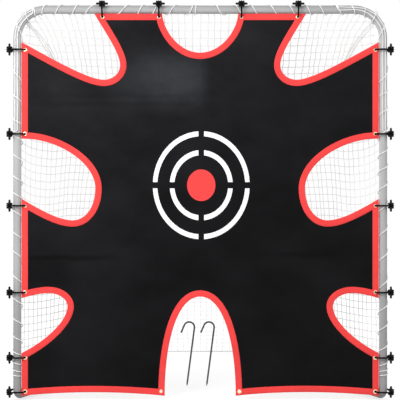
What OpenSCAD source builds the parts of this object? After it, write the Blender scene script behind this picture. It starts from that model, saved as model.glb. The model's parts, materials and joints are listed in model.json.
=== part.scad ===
// Practice goal of the 6 ft class: a laced steel tube frame with a pyramid net, and in its
// mouth a target sheet with eight openings, held by elastic loops and toggles.
// Millimetres. X runs across the mouth, +Y towards the back, +Z up from the ground.

/* [Frame] */
// Width over the two uprights
frame_w = 1774; // [1700:2:1850]
// Height from the underside of the tubes to the top of the top rail
frame_h = 1867; // [1840:1:1900]
// Outside diameter of the tubes
tube_od = 38; // [36:0.5:40]
// Wall of the tubes
tube_wall = 1.5; // [1.2:0.1:2]
// Bend radius of the top corners, on the tube's centre line
top_bend_r = 138; // [120:1:150]
// Straight leg at each end of a corner tube
corner_leg = 110; // [95:1:120]
// Bend radius of the foot elbows, on the tube's centre line
foot_bend_r = 25; // [24:0.5:28]
// Straight leg at each end of a foot elbow
elbow_leg = 75; // [72:1:90]
// Distance from the uprights back to the ends of the ground bars
base_depth = 1450; // [1350:5:1550]
// Half of the distance between the ends of the ground bars
base_half = 250; // [235:1:280]
// Thickness of the plastic caps on the ground bars
cap_t = 4; // [2:0.5:8]
// Length of the caps' plugs
cap_plug = 18; // [10:1:30]

/* [Tube joints] */
// Length of the swaged ends that slide into the next tube
spigot_len = 60; // [50:1:66]
// Radial gap between a swaged end and the tube round it
spigot_gap = 0.1; // [0.05:0.01:0.2]
// Diameter of the snap buttons
button_d = 7.8; // [7:0.1:8.4]
// Radial gap between a snap button and its holes
button_gap = 0.08; // [0.05:0.01:0.1]
// How far the snap buttons stand out of the tubes
button_proud = 3; // [2:0.1:3.4]
// Width of the buttons' leaf springs
leaf_w = 7; // [5:0.5:8]
// Thickness of the leaf springs
leaf_t = 0.8; // [0.5:0.1:1]

/* [Target sheet] */
// Gap between the tubes and the edge of the sheet
sheet_gap = 4; // [3:0.5:5]
// Height of the sheet's lower corners over the underside of the tubes
hem_z = 18; // [10:1:30]
// Rise of the lower edge between its corners
hem_rise = 17; // [0:1:30]
// Thickness of the cloth
cloth_t = 1.2; // [0.8:0.1:2]
// Thickness of the binding tape
tape_t = 0.8; // [0.5:0.1:1.2]
// Width of the binding tape on each face
tape_w = 30; // [24:1:36]
// Height of the bullseye's centre over the sheet's lower corners
target_up = 998; // [950:1:1040]
// Bullseye's centre to the right of the middle
target_x = 5; // [0:1:10]
// Thickness of the printed layers
print_t = 0.3; // [0.2:0.1:0.6]
// Height of the print over its width
print_ratio = 1.115; // [1:0.005:1.2]
// Radii across of the outer ring, outside and inside
outer_ring = [231, 205];
// Radii across of the inner ring, outside and inside
inner_ring = [150, 124];
// Radius across of the bullseye
bull_r = 70; // [50:1:100]
// Gap in the rings
ring_gap = 24; // [15:1:35]
// Width of the top middle opening at the sheet's edge
top_opening_w = 362; // [320:2:380]
// Depth of the top middle opening
top_opening_h = 184; // [150:1:220]
// Width of the arch at the ground
arch_w = 336; // [300:2:380]
// Height of the arch over the sheet's lower corners
arch_h = 469; // [420:1:500]

/* [Grommets and elastics] */
// Hole in the grommets
grommet_hole_d = 10; // [9.4:0.1:11]
// Outside diameter of the grommets
grommet_d = 20; // [17:0.5:22]
// Thickness of the grommets' flanges
flange_t = 0.9; // [0.6:0.1:1.4]
// Distance from the sheet's edge to the grommets' centres
grommet_in = 17; // [15:0.5:18]
// Highest side grommets below the sheet's top edge
side_below_top = 170; // [150:1:180]
// Middle side grommets over the bullseye's height
side_about_target = [240, -99];
// Lower side grommets over the sheet's lower corners
side_above_corner = [489, 181, 20];
// Outer top grommets from the sheet's side edges
top_from_side = 382; // [370:1:395]
// Inner top grommets from the middle
top_from_mid = 195; // [191:1:200]
// Lower seam of the sheet below the bullseye's height
seam_below_target = 344; // [310:1:370]
// Upper seam of the sheet above the bullseye's height
seam_above_target = 390; // [370:1:420]
// Diameter of the elastic cord
cord_d = 8; // [7:0.1:8.2]
// Radius of the elastic's bend through a grommet
cord_bend_r = 16; // [14:0.5:18]
// Length of the toggles
toggle_len = 58; // [48:1:66]
// Diameter of the toggles' arms
arm_d = 10.4; // [9:0.1:12]
// Diameter of the toggles' beads
bead_d = 30; // [29:0.5:32]
// Diameter of the waist between the beads
waist_d = 15; // [13:0.5:16]
// Centres of the side toggles outside the uprights
toggle_out_side = 14; // [10:1:18]
// Centres of the top toggles over the top rail
toggle_out_top = 3; // [0:1:8]

/* [Net and lacing] */
// Mesh of the net
mesh = 170; // [160:1:190]
// Width of the net's cords
strand_w = 4; // [3:0.1:5]
// Thickness of the net's cords
strand_t = 3.5; // [2.5:0.1:4]
// Diameter of the lacing cord
lace_d = 4; // [3:0.1:4.5]

/* [Stakes] */
// Diameter of the stakes' wire
stake_d = 9; // [6:0.2:9.4]
// Length of a stake's shaft
stake_len = 298; // [240:1:320]
// Radius of the hook, on the wire's centre line
hook_r = 27; // [22:1:34]
// Turn of the hook, in degrees
hook_turn = 164; // [150:1:175]
// Length of the straight end of the hook
hook_tail = 42; // [20:1:60]
// Lean of the stakes, in degrees
stake_lean = 7.4; // [0:0.2:12]
// Distance between the two stakes
stake_pitch = 101; // [85:1:130]

/* [Hidden] */
$fn = 64;
eps = 0.01;

// tubes
tube_r = tube_od / 2;
bore_r = tube_r - tube_wall;
spigot_r = bore_r - spigot_gap;
spigot_bore_r = spigot_r - tube_wall;
shoulder = 4;
x_up = frame_w / 2 - tube_r;
z_top = frame_h - tube_r;
rail_half = x_up - top_bend_r - corner_leg;
corner_low = z_top - top_bend_r - corner_leg;
foot_top = tube_r + foot_bend_r + elbow_leg;
base_turn = atan((x_up - base_half) / base_depth);
bar_start = foot_bend_r + elbow_leg;
bar_end = base_depth / cos(base_turn);

// snap buttons
button_r = button_d / 2;
button_hole_r = button_r + button_gap;
button_base_r = button_r + 2;
button_base_t = 1.2;
button_seat = sqrt(pow(spigot_bore_r, 2) - pow(button_base_r, 2)) - 0.1;
leaf_reach = 32;

// net planes: the side nets stand over the ground bars, the back net runs from the top rail
// down to the hem cord between the bars
fit = 0.3;
side_dir = [-sin(base_turn), cos(base_turn)];
hem_y = base_depth - 22;
back_len = norm([hem_y, z_top - tube_r]);
back_slope = atan((z_top - tube_r) / hem_y);
top_dir = [-sin(back_slope), cos(back_slope)];

// lacing: a helix that goes round the tube and the net's edge cord
rings_per_turn = 10;
lace_r = lace_d / 2;
lace_pitch = mesh / 2;
lace_off = (strand_w + fit) / 2;
lace_turn_r = (tube_r + fit + lace_r + lace_off) / cos(180 / rings_per_turn);
lace_out_r = lace_turn_r + lace_r;
base_lift = lace_out_r - lace_off - tube_r;

// sheet
over = 0.4;
sheet_t = cloth_t + 2 * tape_t;
sheet_half = x_up - tube_r - sheet_gap;
sheet_top = z_top - tube_r - sheet_gap;
edge_u = tube_r + sheet_gap;
function clear_y(dir) = lace_off * dir[1]
    - sqrt(max(0, pow(lace_out_r + over, 2) - pow(edge_u + lace_off * dir[0], 2)));
sheet_y = min(clear_y(side_dir), clear_y(top_dir)) - sheet_t / 2;
target_z = hem_z + target_up;

// grommets and elastics, in a frame whose first axis points out of the goal's mouth
grommet_u = -(edge_u + grommet_in);
hole_r = grommet_hole_d / 2;
barrel_r = hole_r + 0.8;
cloth_hole_r = barrel_r + 0.05;
cord_r = cord_d / 2;
seat = 0.25;
bead_r = bead_d / 2;
waist_r = waist_d / 2;
groove_r = waist_r + 0.2 + cord_r;
toggle_far = lace_out_r + over + bead_r;
bottom_tilt = 7;
side_heights = concat([sheet_top - side_below_top], [for (h = side_about_target) target_z + h],
    [for (h = side_above_corner) hem_z + h]);
top_places = [top_from_side - sheet_half, -top_from_mid, top_from_mid, sheet_half - top_from_side];

// the whole part stands centred over its origin
top_toggle_u = tube_r + toggle_out_top;
function toggle_y(u, dir) = lace_off * dir[1]
    - sqrt(pow(toggle_far, 2) - pow(u - lace_off * dir[0], 2));
y_front = toggle_y(top_toggle_u, top_dir) - max(groove_r + cord_r, bead_r);
y_back = (bar_end + cap_t) * cos(base_turn) + tube_r * sin(base_turn);
y_mid = (y_front + y_back) / 2;

module place() translate([0, -y_mid, base_lift]) children();
module on_side(side) mirror([side < 0 ? 1 : 0, 0, 0]) children();
module on_base() translate([x_up, 0, tube_r]) rotate([0, 0, base_turn]) children();

// ---------------------------------------------------------------- tubes
module along_y() rotate([-90, 0, 0]) children();
module along_x() rotate([0, 90, 0]) children();
module bend(bend_r, r, angle) rotate_extrude(angle = angle) translate([bend_r, 0]) circle(r);

// a swaged end: the outer step, or the bore that runs through it
module swage(outer) {
    if (outer) translate([0, 0, -eps]) cylinder(h = spigot_len + eps, r = spigot_r);
    else translate([0, 0, -shoulder - eps]) cylinder(h = spigot_len + shoulder + 1, r = spigot_bore_r);
}

module button_hole() cylinder(h = tube_od, r = button_hole_r);

module top_rail() color("lightgray") place() difference() {
    translate([-rail_half, 0, z_top]) along_x() difference() {
        cylinder(h = 2 * rail_half, r = tube_r);
        translate([0, 0, -1]) cylinder(h = 2 * rail_half + 2, r = bore_r);
    }
    for (s = [-1, 1]) on_side(s)
        translate([rail_half - spigot_len / 2, 0, z_top]) along_y() button_hole();
}

// outer form of a corner tube, or its bore
module corner_form(outer) {
    r = outer ? tube_r : bore_r;
    leg = outer ? corner_leg : corner_leg - shoulder;
    translate([x_up - top_bend_r, 0, z_top - top_bend_r]) {
        rotate([90, 0, 0]) bend(top_bend_r, r, 90);
        translate([top_bend_r, 0, -leg]) cylinder(h = leg, r = r);
        translate([-leg, 0, top_bend_r]) along_x() cylinder(h = leg, r = r);
        translate([top_bend_r, 0, -corner_leg]) rotate([180, 0, 0]) swage(outer);
        translate([-corner_leg, 0, top_bend_r]) rotate([0, -90, 0]) swage(outer);
    }
}

module corner_tube(side) color("lightgray") place() on_side(side) difference() {
    corner_form(true);
    corner_form(false);
    translate([x_up, 0, corner_low - spigot_len / 2]) along_y() button_hole();
    translate([rail_half - spigot_len / 2, 0, z_top]) along_y() button_hole();
}

module upright(side) color("lightgray") place() on_side(side) translate([x_up, 0, 0]) difference() {
    translate([0, 0, foot_top]) cylinder(h = corner_low - foot_top, r = tube_r);
    translate([0, 0, foot_top - 1]) cylinder(h = corner_low - foot_top + 2, r = bore_r);
    translate([0, 0, corner_low - spigot_len / 2]) along_y() button_hole();
    translate([0, 0, foot_top + spigot_len / 2]) along_y() button_hole();
}

// outer form of a foot elbow, or its bore, in the frame of the ground bar
module elbow_form(outer) {
    r = outer ? tube_r : bore_r;
    leg = outer ? elbow_leg : elbow_leg - shoulder;
    translate([0, foot_bend_r, foot_bend_r]) rotate([0, 90, 0]) rotate([0, 0, -90])
        bend(foot_bend_r, r, 90);
    translate([0, 0, foot_bend_r]) cylinder(h = leg, r = r);
    translate([0, foot_bend_r, 0]) along_y() cylinder(h = leg, r = r);
    translate([0, 0, foot_bend_r + elbow_leg]) swage(outer);
    translate([0, bar_start, 0]) along_y() swage(outer);
}

module foot_elbow(side) color("lightgray") place() on_side(side) difference() {
    on_base() elbow_form(true);
    on_base() elbow_form(false);
    translate([x_up, 0, foot_top + spigot_len / 2]) along_y() button_hole();
    on_base() translate([0, bar_start + spigot_len / 2, 0]) rotate([0, 90, 0]) button_hole();
}

module ground_bar(side) color("lightgray") place() on_side(side) on_base() difference() {
    translate([0, bar_start, 0]) along_y() cylinder(h = bar_end - bar_start, r = tube_r);
    translate([0, bar_start - 1, 0]) along_y() cylinder(h = bar_end - bar_start + 2, r = bore_r);
    translate([0, bar_start + spigot_len / 2, 0]) rotate([0, 90, 0]) button_hole();
}

module rear_end_caps() color("dimgray") place() for (s = [-1, 1]) on_side(s) on_base()
    translate([0, bar_end, 0]) along_y() {
        cylinder(h = cap_t, r = tube_r);
        translate([0, 0, -cap_plug]) difference() {
            cylinder(h = cap_plug + eps, r = spigot_r);
            translate([0, 0, -1]) cylinder(h = cap_plug - 1, r = spigot_bore_r);
        }
    }

// ---------------------------------------------------------------- snap buttons
// a snap button in a frame whose Z runs out of the tube through the holes
module button_shape() {
    dome = 1.2;
    translate([0, 0, button_seat - button_base_t]) cylinder(h = button_base_t, r = button_base_r);
    translate([0, 0, button_seat - eps])
        cylinder(h = tube_r + button_proud - dome - button_seat + eps, r = button_r);
    translate([0, 0, tube_r + button_proud - dome])
        cylinder(h = dome, r1 = button_r, r2 = button_r - dome);
}

// a leaf folded into a V: one leg under the button, the other against the far wall
module leaf_shape() {
    z_hi = button_seat - button_base_t;
    z_lo = -(sqrt(pow(spigot_bore_r, 2) - pow(leaf_w / 2, 2)) - 0.1);
    x_end = button_base_r;
    rotate([90, 0, 0]) translate([0, 0, -leaf_w / 2]) linear_extrude(leaf_w) polygon([
        [x_end, z_hi], [-button_base_r, z_hi], [-leaf_reach, leaf_t], [-leaf_reach, -leaf_t],
        [x_end, z_lo], [x_end, z_lo + leaf_t], [-leaf_reach + 3 * leaf_t, 0],
        [-button_base_r, z_hi - leaf_t], [x_end, z_hi - leaf_t]]);
}

// frame of each snap button: X along the tube, Z out through the holes
module at_button(name) {
    if (name == "rail") translate([rail_half - spigot_len / 2, 0, z_top]) rotate([-90, 0, 0]) children();
    if (name == "upright") translate([x_up, 0, corner_low - spigot_len / 2])
        rotate([-90, 0, 0]) rotate([0, 0, -90]) children();
    if (name == "foot") translate([x_up, 0, foot_top + spigot_len / 2])
        rotate([-90, 0, 0]) rotate([0, 0, 90]) children();
    if (name == "base") on_base() translate([0, bar_start + spigot_len / 2, 0])
        rotate([0, 90, 0]) rotate([0, 0, 90]) children();
}

module snap_button(name, side) color("silver") place() on_side(side) at_button(name) button_shape();
module button_springs() color("gray") place()
    for (s = [-1, 1]) for (name = ["rail", "upright", "foot", "base"])
        on_side(s) at_button(name) leaf_shape();

// ---------------------------------------------------------------- outlines of the sheet
curve_steps = 8;
function bezier(p) = [for (i = [0 : curve_steps]) let (t = i / curve_steps, q = 1 - t)
    q * q * q * p[0] + 3 * q * q * t * p[1] + 3 * q * t * t * p[2] + t * t * t * p[3]];
// one smooth curve through several cubic pieces that share their end points
function chain(p) = [for (k = [0 : 3 : len(p) - 4]) for (i = [0 : curve_steps - 1])
    bezier([p[k], p[k + 1], p[k + 2], p[k + 3]])[i]];
function open_curve(p) = concat(chain(p), [p[len(p) - 1]]);
function unit(v) = v / norm(v);
function left_of(v) = [-v[1], v[0]];
// the curve moved to its left by a distance, with both ends run on straight
function moved(c, by) = let (
    n = len(c),
    run = 80,
    d = [for (i = [0 : n - 1]) unit(c[min(i + 1, n - 1)] - c[max(i - 1, 0)])],
    m = [for (i = [0 : n - 1]) c[i] + by * left_of(d[i])])
    concat([m[0] - run * d[0]], m, [m[n - 1] + run * d[n - 1]]);

// Each opening's edge, walked with the cloth on its left. Points are measured from the
// sheet's side and top edges, from the bullseye's height, or from the lower corners.
left_edge = -sheet_half;
function from_top_left(p) = [left_edge + p[0], sheet_top - p[1]];
function from_mid_left(p) = [left_edge + p[0], target_z + p[1]];
function from_low_left(p) = [left_edge + p[0], hem_z + p[1]];
top_corner_edge = [for (p = [[344, 0], [396, 88], [466, 188], [466, 242], [466, 283], [432, 312],
    [388, 312], [316, 312], [146, 214], [0, 134]]) from_top_left(p)];
middle_edge = [for (p = [[0, 218], [166, 222], [349, 106], [349, -17], [349, -99], [306, -168],
    [242, -168], [176, -168], [86, -117], [0, -66]]) from_mid_left(p)];
low_edge = [for (p = [[0, 461], [41, 474], [86, 485], [128, 485], [178, 485], [217, 456],
    [217, 423], [217, 355], [116, 260], [0, 202]]) from_low_left(p)];
top_half = top_opening_w / 2;
top_middle_edge = [for (p = [[1, 0], [0.93, 0.52], [0.5, 1], [0, 1], [-0.5, 1], [-0.93, 0.52], [-1, 0]])
    [top_half * p[0], sheet_top - top_opening_h * p[1]]];
arch_half = arch_w / 2;
arch_edge = [for (p = [[-1, 0], [-1, 0.54], [-0.65, 1], [0, 1], [0.65, 1], [1, 0.54], [1, 0]])
    [arch_half * p[0], hem_z + arch_h * p[1]]];

far = 140;
// the area that an opening cuts out of the sheet, grown by a distance into the cloth
module opening(kind, by) {
    if (kind == "corner") polygon(concat(moved(open_curve(top_corner_edge), by),
        [[left_edge - far, sheet_top + far]]));
    if (kind == "middle") polygon(moved(open_curve(middle_edge), by));
    if (kind == "low") polygon(moved(open_curve(low_edge), by));
    if (kind == "top") polygon(moved(open_curve(top_middle_edge), by));
    if (kind == "arch") polygon(moved(open_curve(arch_edge), by));
}

module openings(by) {
    for (s = [-1, 1]) mirror([s < 0 ? 0 : 1, 0]) {
        opening("corner", by);
        opening("middle", by);
        opening("low", by);
    }
    opening("top", by);
    opening("arch", by);
}

// the sheet's outer rectangle, whose lower edge rises between its corners
hem_steps = 12;
module outer(by) {
    span = sheet_half - arch_half;
    hem = [for (i = [0 : hem_steps]) let (t = i / hem_steps)
        [arch_half + span * t, hem_z + by + hem_rise * 4 * t * (1 - t)]];
    right = [for (p = hem) [min(p[0], sheet_half - by), p[1]]];
    left = [for (i = [hem_steps : -1 : 0]) [-right[i][0], right[i][1]]];
    polygon(concat(left, right, [[sheet_half - by, sheet_top - by], [-sheet_half + by, sheet_top - by]]));
}

// a flat layer of the sheet, given by its distance behind the sheet's middle and thickness
module layer(y, t) translate([0, sheet_y + y + t / 2, 0]) rotate([90, 0, 0]) linear_extrude(t) children();

side_spots = [for (s = [-1, 1]) for (z = side_heights) [s * (sheet_half - grommet_in), z]];
top_spots = [for (x = top_places) [x, sheet_top - grommet_in]];
arch_spots = [for (s = [-1, 1]) [s * (arch_half + grommet_in), hem_z + side_above_corner[2]]];
module at_spots(spots) for (p = spots) translate([p[0], sheet_y, p[1]]) rotate([90, 0, 0]) children();
module grommet_holes() at_spots(concat(side_spots, top_spots, arch_spots))
    cylinder(h = 6 * sheet_t, r = cloth_hole_r, center = true);

// one panel of the sheet: s is its side, k its row from the ground up; the panels meet on the seams
seam_z = [0, target_z - seam_below_target, target_z + seam_above_target, sheet_top];
module sheet_panel(s, k) color([0.12, 0.12, 0.13]) place() difference() {
    layer(0, cloth_t) intersection() {
        difference() {
            outer(tape_t);
            openings(tape_t);
        }
        translate([s > 0 ? 0 : -sheet_half, seam_z[k]])
            square([sheet_half, seam_z[k + 1] - seam_z[k]]);
    }
    grommet_holes();
}

// binding tape folded over an edge: two flat bands and the fold that joins them
module folded_tape() {
    for (s = [-1, 1]) layer(s * (cloth_t + tape_t) / 2, tape_t) children(0);
    layer(0, cloth_t) children(1);
}

module border_binding() color([0.98, 0.31, 0.3]) place() difference() {
    folded_tape() {
        difference() {
            outer(0);
            outer(tape_w);
            openings(tape_w);
        }
        difference() {
            outer(0);
            outer(tape_t);
            openings(tape_w);
        }
    }
    grommet_holes();
}

module pocket_bindings() color([0.98, 0.31, 0.3]) place() difference() {
    folded_tape() {
        intersection() {
            outer(0);
            difference() {
                openings(tape_w);
                openings(0);
            }
        }
        intersection() {
            outer(0);
            difference() {
                openings(tape_w);
                openings(0);
                difference() {
                    outer(tape_t);
                    openings(tape_t);
                }
            }
        }
    }
    grommet_holes();
}

// ---------------------------------------------------------------- print
function oval(r) = [for (a = [0 : 4 : 356]) [r * cos(a), r * print_ratio * sin(a)]];
module ring(r) difference() {
    polygon(oval(r[0]));
    polygon(oval(r[1]));
    square([ring_gap, 4 * r[0]], center = true);
    square([4 * r[0], ring_gap * print_ratio], center = true);
}
print_y = -(cloth_t + print_t) / 2;
module printed_rings() color("white") place() layer(print_y, print_t)
    translate([target_x, target_z]) {
        ring(outer_ring);
        ring(inner_ring);
    }
module printed_bullseye() color([0.98, 0.31, 0.3]) place() layer(print_y, print_t)
    translate([target_x, target_z]) polygon(oval(bull_r));

// ---------------------------------------------------------------- grommets
module grommet() rotate_extrude() {
    translate([hole_r, -sheet_t / 2 - flange_t]) square([barrel_r - hole_r, sheet_t + 2 * flange_t]);
    for (z = [-sheet_t / 2 - flange_t, sheet_t / 2])
        translate([hole_r, z]) square([grommet_d / 2 - hole_r, flange_t]);
}
module grommets() color([0.95, 0.87, 0.62]) place() at_spots(concat(side_spots, top_spots)) grommet();
module arch_grommets() color([0.95, 0.87, 0.62]) place() at_spots(arch_spots) grommet();

// ---------------------------------------------------------------- toggles and elastics
// frame of each toggle's tube: X out of the mouth, Z along the tube, at the grommet's height
module at_side(side, i) on_side(side) translate([x_up, 0, side_heights[i]])
    tilt_about_sheet(i == len(side_heights) - 1 ? bottom_tilt : 0) children();
module tilt_about_sheet(a) translate([0, sheet_y, 0]) rotate([a, 0, 0]) translate([0, -sheet_y, 0])
    children();
module at_top(i) translate([top_places[i], 0, z_top]) rotate([0, -90, 0]) children();

side_toggle = [tube_r + toggle_out_side, toggle_y(tube_r + toggle_out_side, side_dir)];
top_toggle = [top_toggle_u, toggle_y(top_toggle_u, top_dir)];

module toggle_shape() rotate_extrude() intersection() {
    translate([0, -toggle_len]) square([bead_d, 2 * toggle_len]);
    union() {
        translate([0, -(toggle_len - arm_d) / 2]) square([arm_d / 2, toggle_len - arm_d]);
        for (s = [-1, 1]) translate([0, s * (toggle_len - arm_d) / 2]) circle(d = arm_d, $fn = 48);
        bead_h = 9.6;
        for (s = [-1, 1]) translate([0, s * (cord_r + fit + bead_h / 2)]) {
            translate([0, -bead_h / 2]) square([bead_r - bead_h / 2, bead_h]);
            translate([bead_r - bead_h / 2, 0]) circle(d = bead_h, $fn = 48);
        }
        translate([0, -cord_r - fit - eps]) square([waist_r, 2 * (cord_r + fit + eps)]);
    }
}

// straight runs of cord or wire are a hair thinner than the bends and lap into them
lap = 0.4;
lap_step = 0.05;

// a belt of cord round three circles [x, y, radius], listed anticlockwise
function normal_angle(a, b) = let (v = [b[0] - a[0], b[1] - a[1]])
    atan2(v[1], v[0]) - acos((a[2] - b[2]) / norm(v));
function on_circle(c, angle) = [c[0] + c[2] * cos(angle), c[1] + c[2] * sin(angle)];
module belt(circles) {
    n = len(circles);
    for (i = [0 : n - 1]) {
        a = circles[i];
        b = circles[(i + 1) % n];
        before = normal_angle(circles[(i + n - 1) % n], a);
        after = normal_angle(a, b);
        turn = (after - before + 720) % 360;
        translate([a[0], a[1], 0]) rotate([0, 0, before]) bend(a[2], cord_r, turn);
        p = on_circle(a, after);
        q = on_circle(b, after);
        translate([p[0], p[1], 0]) rotate([0, 0, atan2(q[1] - p[1], q[0] - p[0])]) along_x()
            translate([0, 0, -lap]) cylinder(h = norm(q - p) + 2 * lap, r = cord_r - lap_step);
    }
}

// an elastic: through the grommet, over the front of the tube, round the toggle's waist and
// back behind the tube
module elastic(toggle, dir) belt([
    [grommet_u + hole_r - cord_r - seat + cord_bend_r, sheet_y, cord_bend_r],
    [toggle[0], toggle[1], groove_r],
    [lace_off * dir[0], lace_off * dir[1], lace_out_r + over + cord_r]]);

module toggle_side(side, i) color([0.1, 0.1, 0.1]) place() at_side(side, i)
    translate([side_toggle[0], side_toggle[1], 0]) toggle_shape();
module toggle_top(i) color([0.1, 0.1, 0.1]) place() at_top(i)
    translate([top_toggle[0], top_toggle[1], 0]) toggle_shape();
module bungee_cords() color([0.08, 0.08, 0.08]) place() {
    for (s = [-1, 1]) for (i = [0 : len(side_heights) - 1]) at_side(s, i) elastic(side_toggle, side_dir);
    for (i = [0 : len(top_places) - 1]) at_top(i) elastic(top_toggle, top_dir);
}

// ---------------------------------------------------------------- net
// a convex outline, walked anticlockwise, drawn in by a distance
function drawn_in(p, by) = let (n = len(p)) [for (i = [0 : n - 1]) let (
    a = left_of(unit(p[i] - p[(i + n - 1) % n])),
    b = left_of(unit(p[(i + 1) % n] - p[i])))
    p[i] + by * (a + b) / (1 + a * b)];

// a flat net: the outline's edge cord, and cords a mesh apart through the point start
module net_2d(outline, start, across, up) difference() {
    polygon(outline);
    intersection() {
        polygon(drawn_in(outline, strand_w));
        for (i = [across[0] : across[1]]) for (j = [up[0] : up[1]])
            translate([start[0] + i * mesh + strand_w / 2, start[1] + j * mesh + strand_w / 2])
                square(mesh - strand_w);
    }
}

net_start = tube_r + fit;
rung_z = 95;
seam_start = 0.03;
seam_gap = strand_t / 2 / cos(base_turn) + fit;
net_top = z_top - top_bend_r - 12;
side_len = hem_y / cos(base_turn);
side_drop = z_top - tube_r;
side_corner = 34;

// the side net in its own plane: first axis back along the bar, second axis up
side_outline = [[net_start, 78], [76, tube_od + fit], [side_len - side_corner, tube_od + fit],
    [side_len * seam_start, z_top - side_drop * seam_start], [net_start, net_top]];
module side_net(side) color("whitesmoke") place() on_side(side)
    translate([x_up, 0, 0]) rotate([0, 0, base_turn]) rotate([90, 0, 0]) rotate([0, 90, 0])
        translate([0, 0, -strand_t / 2]) linear_extrude(strand_t)
            net_2d(side_outline, [net_start, rung_z], [0, 9], [-1, 10]);

// the back net in its own plane: first axis across, second axis up the slope from the hem
function back_half(s) = x_up - (back_len - s) * cos(back_slope) * tan(base_turn) - seam_gap;
back_low = lace_r + fit;
back_high = back_len * (1 - seam_start);
hem_corner = 32;
back_outline = [[back_half(back_low) - hem_corner, back_low],
    [back_half(back_low + hem_corner), back_low + hem_corner],
    [back_half(back_high), back_high], [x_up - top_bend_r, back_len - net_start]];
module net_back() color("whitesmoke") place()
    translate([0, hem_y, tube_r]) rotate([180 - back_slope, 0, 0])
        translate([0, 0, -strand_t / 2]) linear_extrude(strand_t)
            net_2d(concat([for (i = [3 : -1 : 0]) [-back_outline[i][0], back_outline[i][1]]], back_outline),
                [0, back_len - net_start - 14 * mesh], [-6, 5], [-1, 14]);

// the cord that closes the net between the ground bars, looped round each bar
module net_hem_cord() color("whitesmoke") place() {
    reach = x_up - hem_y * tan(base_turn) - (tube_r + fit + lace_r) / cos(base_turn);
    translate([-reach, hem_y, tube_r]) along_x() cylinder(h = 2 * reach, r = lace_r);
    for (s = [-1, 1]) on_side(s) on_base() translate([0, side_len, 0]) along_y()
        bend(tube_r + fit + lace_r, lace_r, 360);
}

// ---------------------------------------------------------------- lacing
// a helix of cord about Z from height 0, offset from the tube towards the net's edge.
// It crosses the net's plane half a pitch above each multiple of the pitch.
cord_sides = 6;
function lace_point(t) = [lace_turn_r * cos(360 * t + 180), lace_turn_r * sin(360 * t + 180), 0];
function lace_ring(t, pitch) = let (
    n = unit(lace_point(t)),
    b = unit([-n[1] * pitch / (360 * lace_turn_r) * 180 / PI, n[0] * pitch / (360 * lace_turn_r) * 180 / PI, -1]),
    c = lace_point(t) + [0, 0, pitch * t])
    [for (k = [0 : cord_sides - 1]) c + lace_r * (cos(360 * k / cord_sides) * n + sin(360 * k / cord_sides) * b)];
module helix(turns, pitch) {
    rings = round(turns * rings_per_turn);
    points = [for (i = [0 : rings]) each lace_ring(i / rings_per_turn, pitch)];
    sides = [for (i = [0 : rings - 1]) for (k = [0 : cord_sides - 1]) let (
        m = (k + 1) % cord_sides,
        a = i * cord_sides,
        b = a + cord_sides)
        each [[a + k, b + m, b + k], [a + k, a + m, b + m]]];
    ends = [[for (k = [cord_sides - 1 : -1 : 0]) k], [for (k = [0 : cord_sides - 1]) rings * cord_sides + k]];
    polyhedron(points = points, faces = concat(sides, ends), convexity = 10);
}
module lace(turns, pitch) translate([lace_off, 0, 0]) helix(turns, pitch);

// least gap of a winding to itself, between points half a turn or more apart
function winding_gap(pitch) = min([for (i = [0 : rings_per_turn - 1])
    for (j = [rings_per_turn / 2 : 2 * rings_per_turn])
        norm(lace_centre(i, pitch) - lace_centre(i + j, pitch))]) - 2 * lace_r;
function lace_centre(i, pitch) = let (t = i / rings_per_turn) lace_point(t) + [0, 0, pitch * t];
echo(lacing_least_gap = min(winding_gap(lace_pitch), winding_gap(mesh)));

side_turns = floor((net_top - rung_z) / lace_pitch);
module lacing_side(side) color("white") place() on_side(side)
    translate([x_up, 0, rung_z]) rotate([0, 0, base_turn + 90]) lace(side_turns, lace_pitch);

top_turns = floor((x_up - top_bend_r - 6) / lace_pitch);
module lacing_top() color("white") place() for (s = [-1, 1]) on_side(s)
    translate([6, 0, z_top]) rotate([0, 90, 0]) rotate([0, 0, back_slope]) lace(top_turns, lace_pitch);

base_lace_start = bar_start + spigot_len;
base_turns = floor((side_len - base_lace_start) / mesh) - 0.5;
module lacing_base(side) color("white") place() on_side(side) on_base()
    translate([0, base_lace_start, 0]) along_y() rotate([0, 0, -90]) lace(base_turns, mesh);

// ---------------------------------------------------------------- stakes
stake_x = -68;
stake_y = 385;
point_len = 14;
// a shaft that starts at the ground and ends in a hook turned to the left
module stake(i) color([0.4, 0.41, 0.42]) translate([stake_x + i * stake_pitch, stake_y - y_mid, 0])
    rotate([0, stake_lean, 0]) translate([0, 0, stake_d / 2 * sin(stake_lean) * 0.3]) {
        wire_r = stake_d / 2;
        rotate_extrude() polygon([[0, 0], [wire_r * 0.3, 0], [wire_r - lap_step, point_len],
            [wire_r - lap_step, stake_len + lap], [0, stake_len + lap]]);
        translate([-hook_r, 0, stake_len]) rotate([90, 0, 0]) bend(hook_r, wire_r, hook_turn);
        translate([-hook_r, 0, stake_len]) rotate([0, -hook_turn, 0]) translate([hook_r, 0, -lap])
            cylinder(h = hook_tail + lap, r = wire_r - lap_step);
    }

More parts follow.
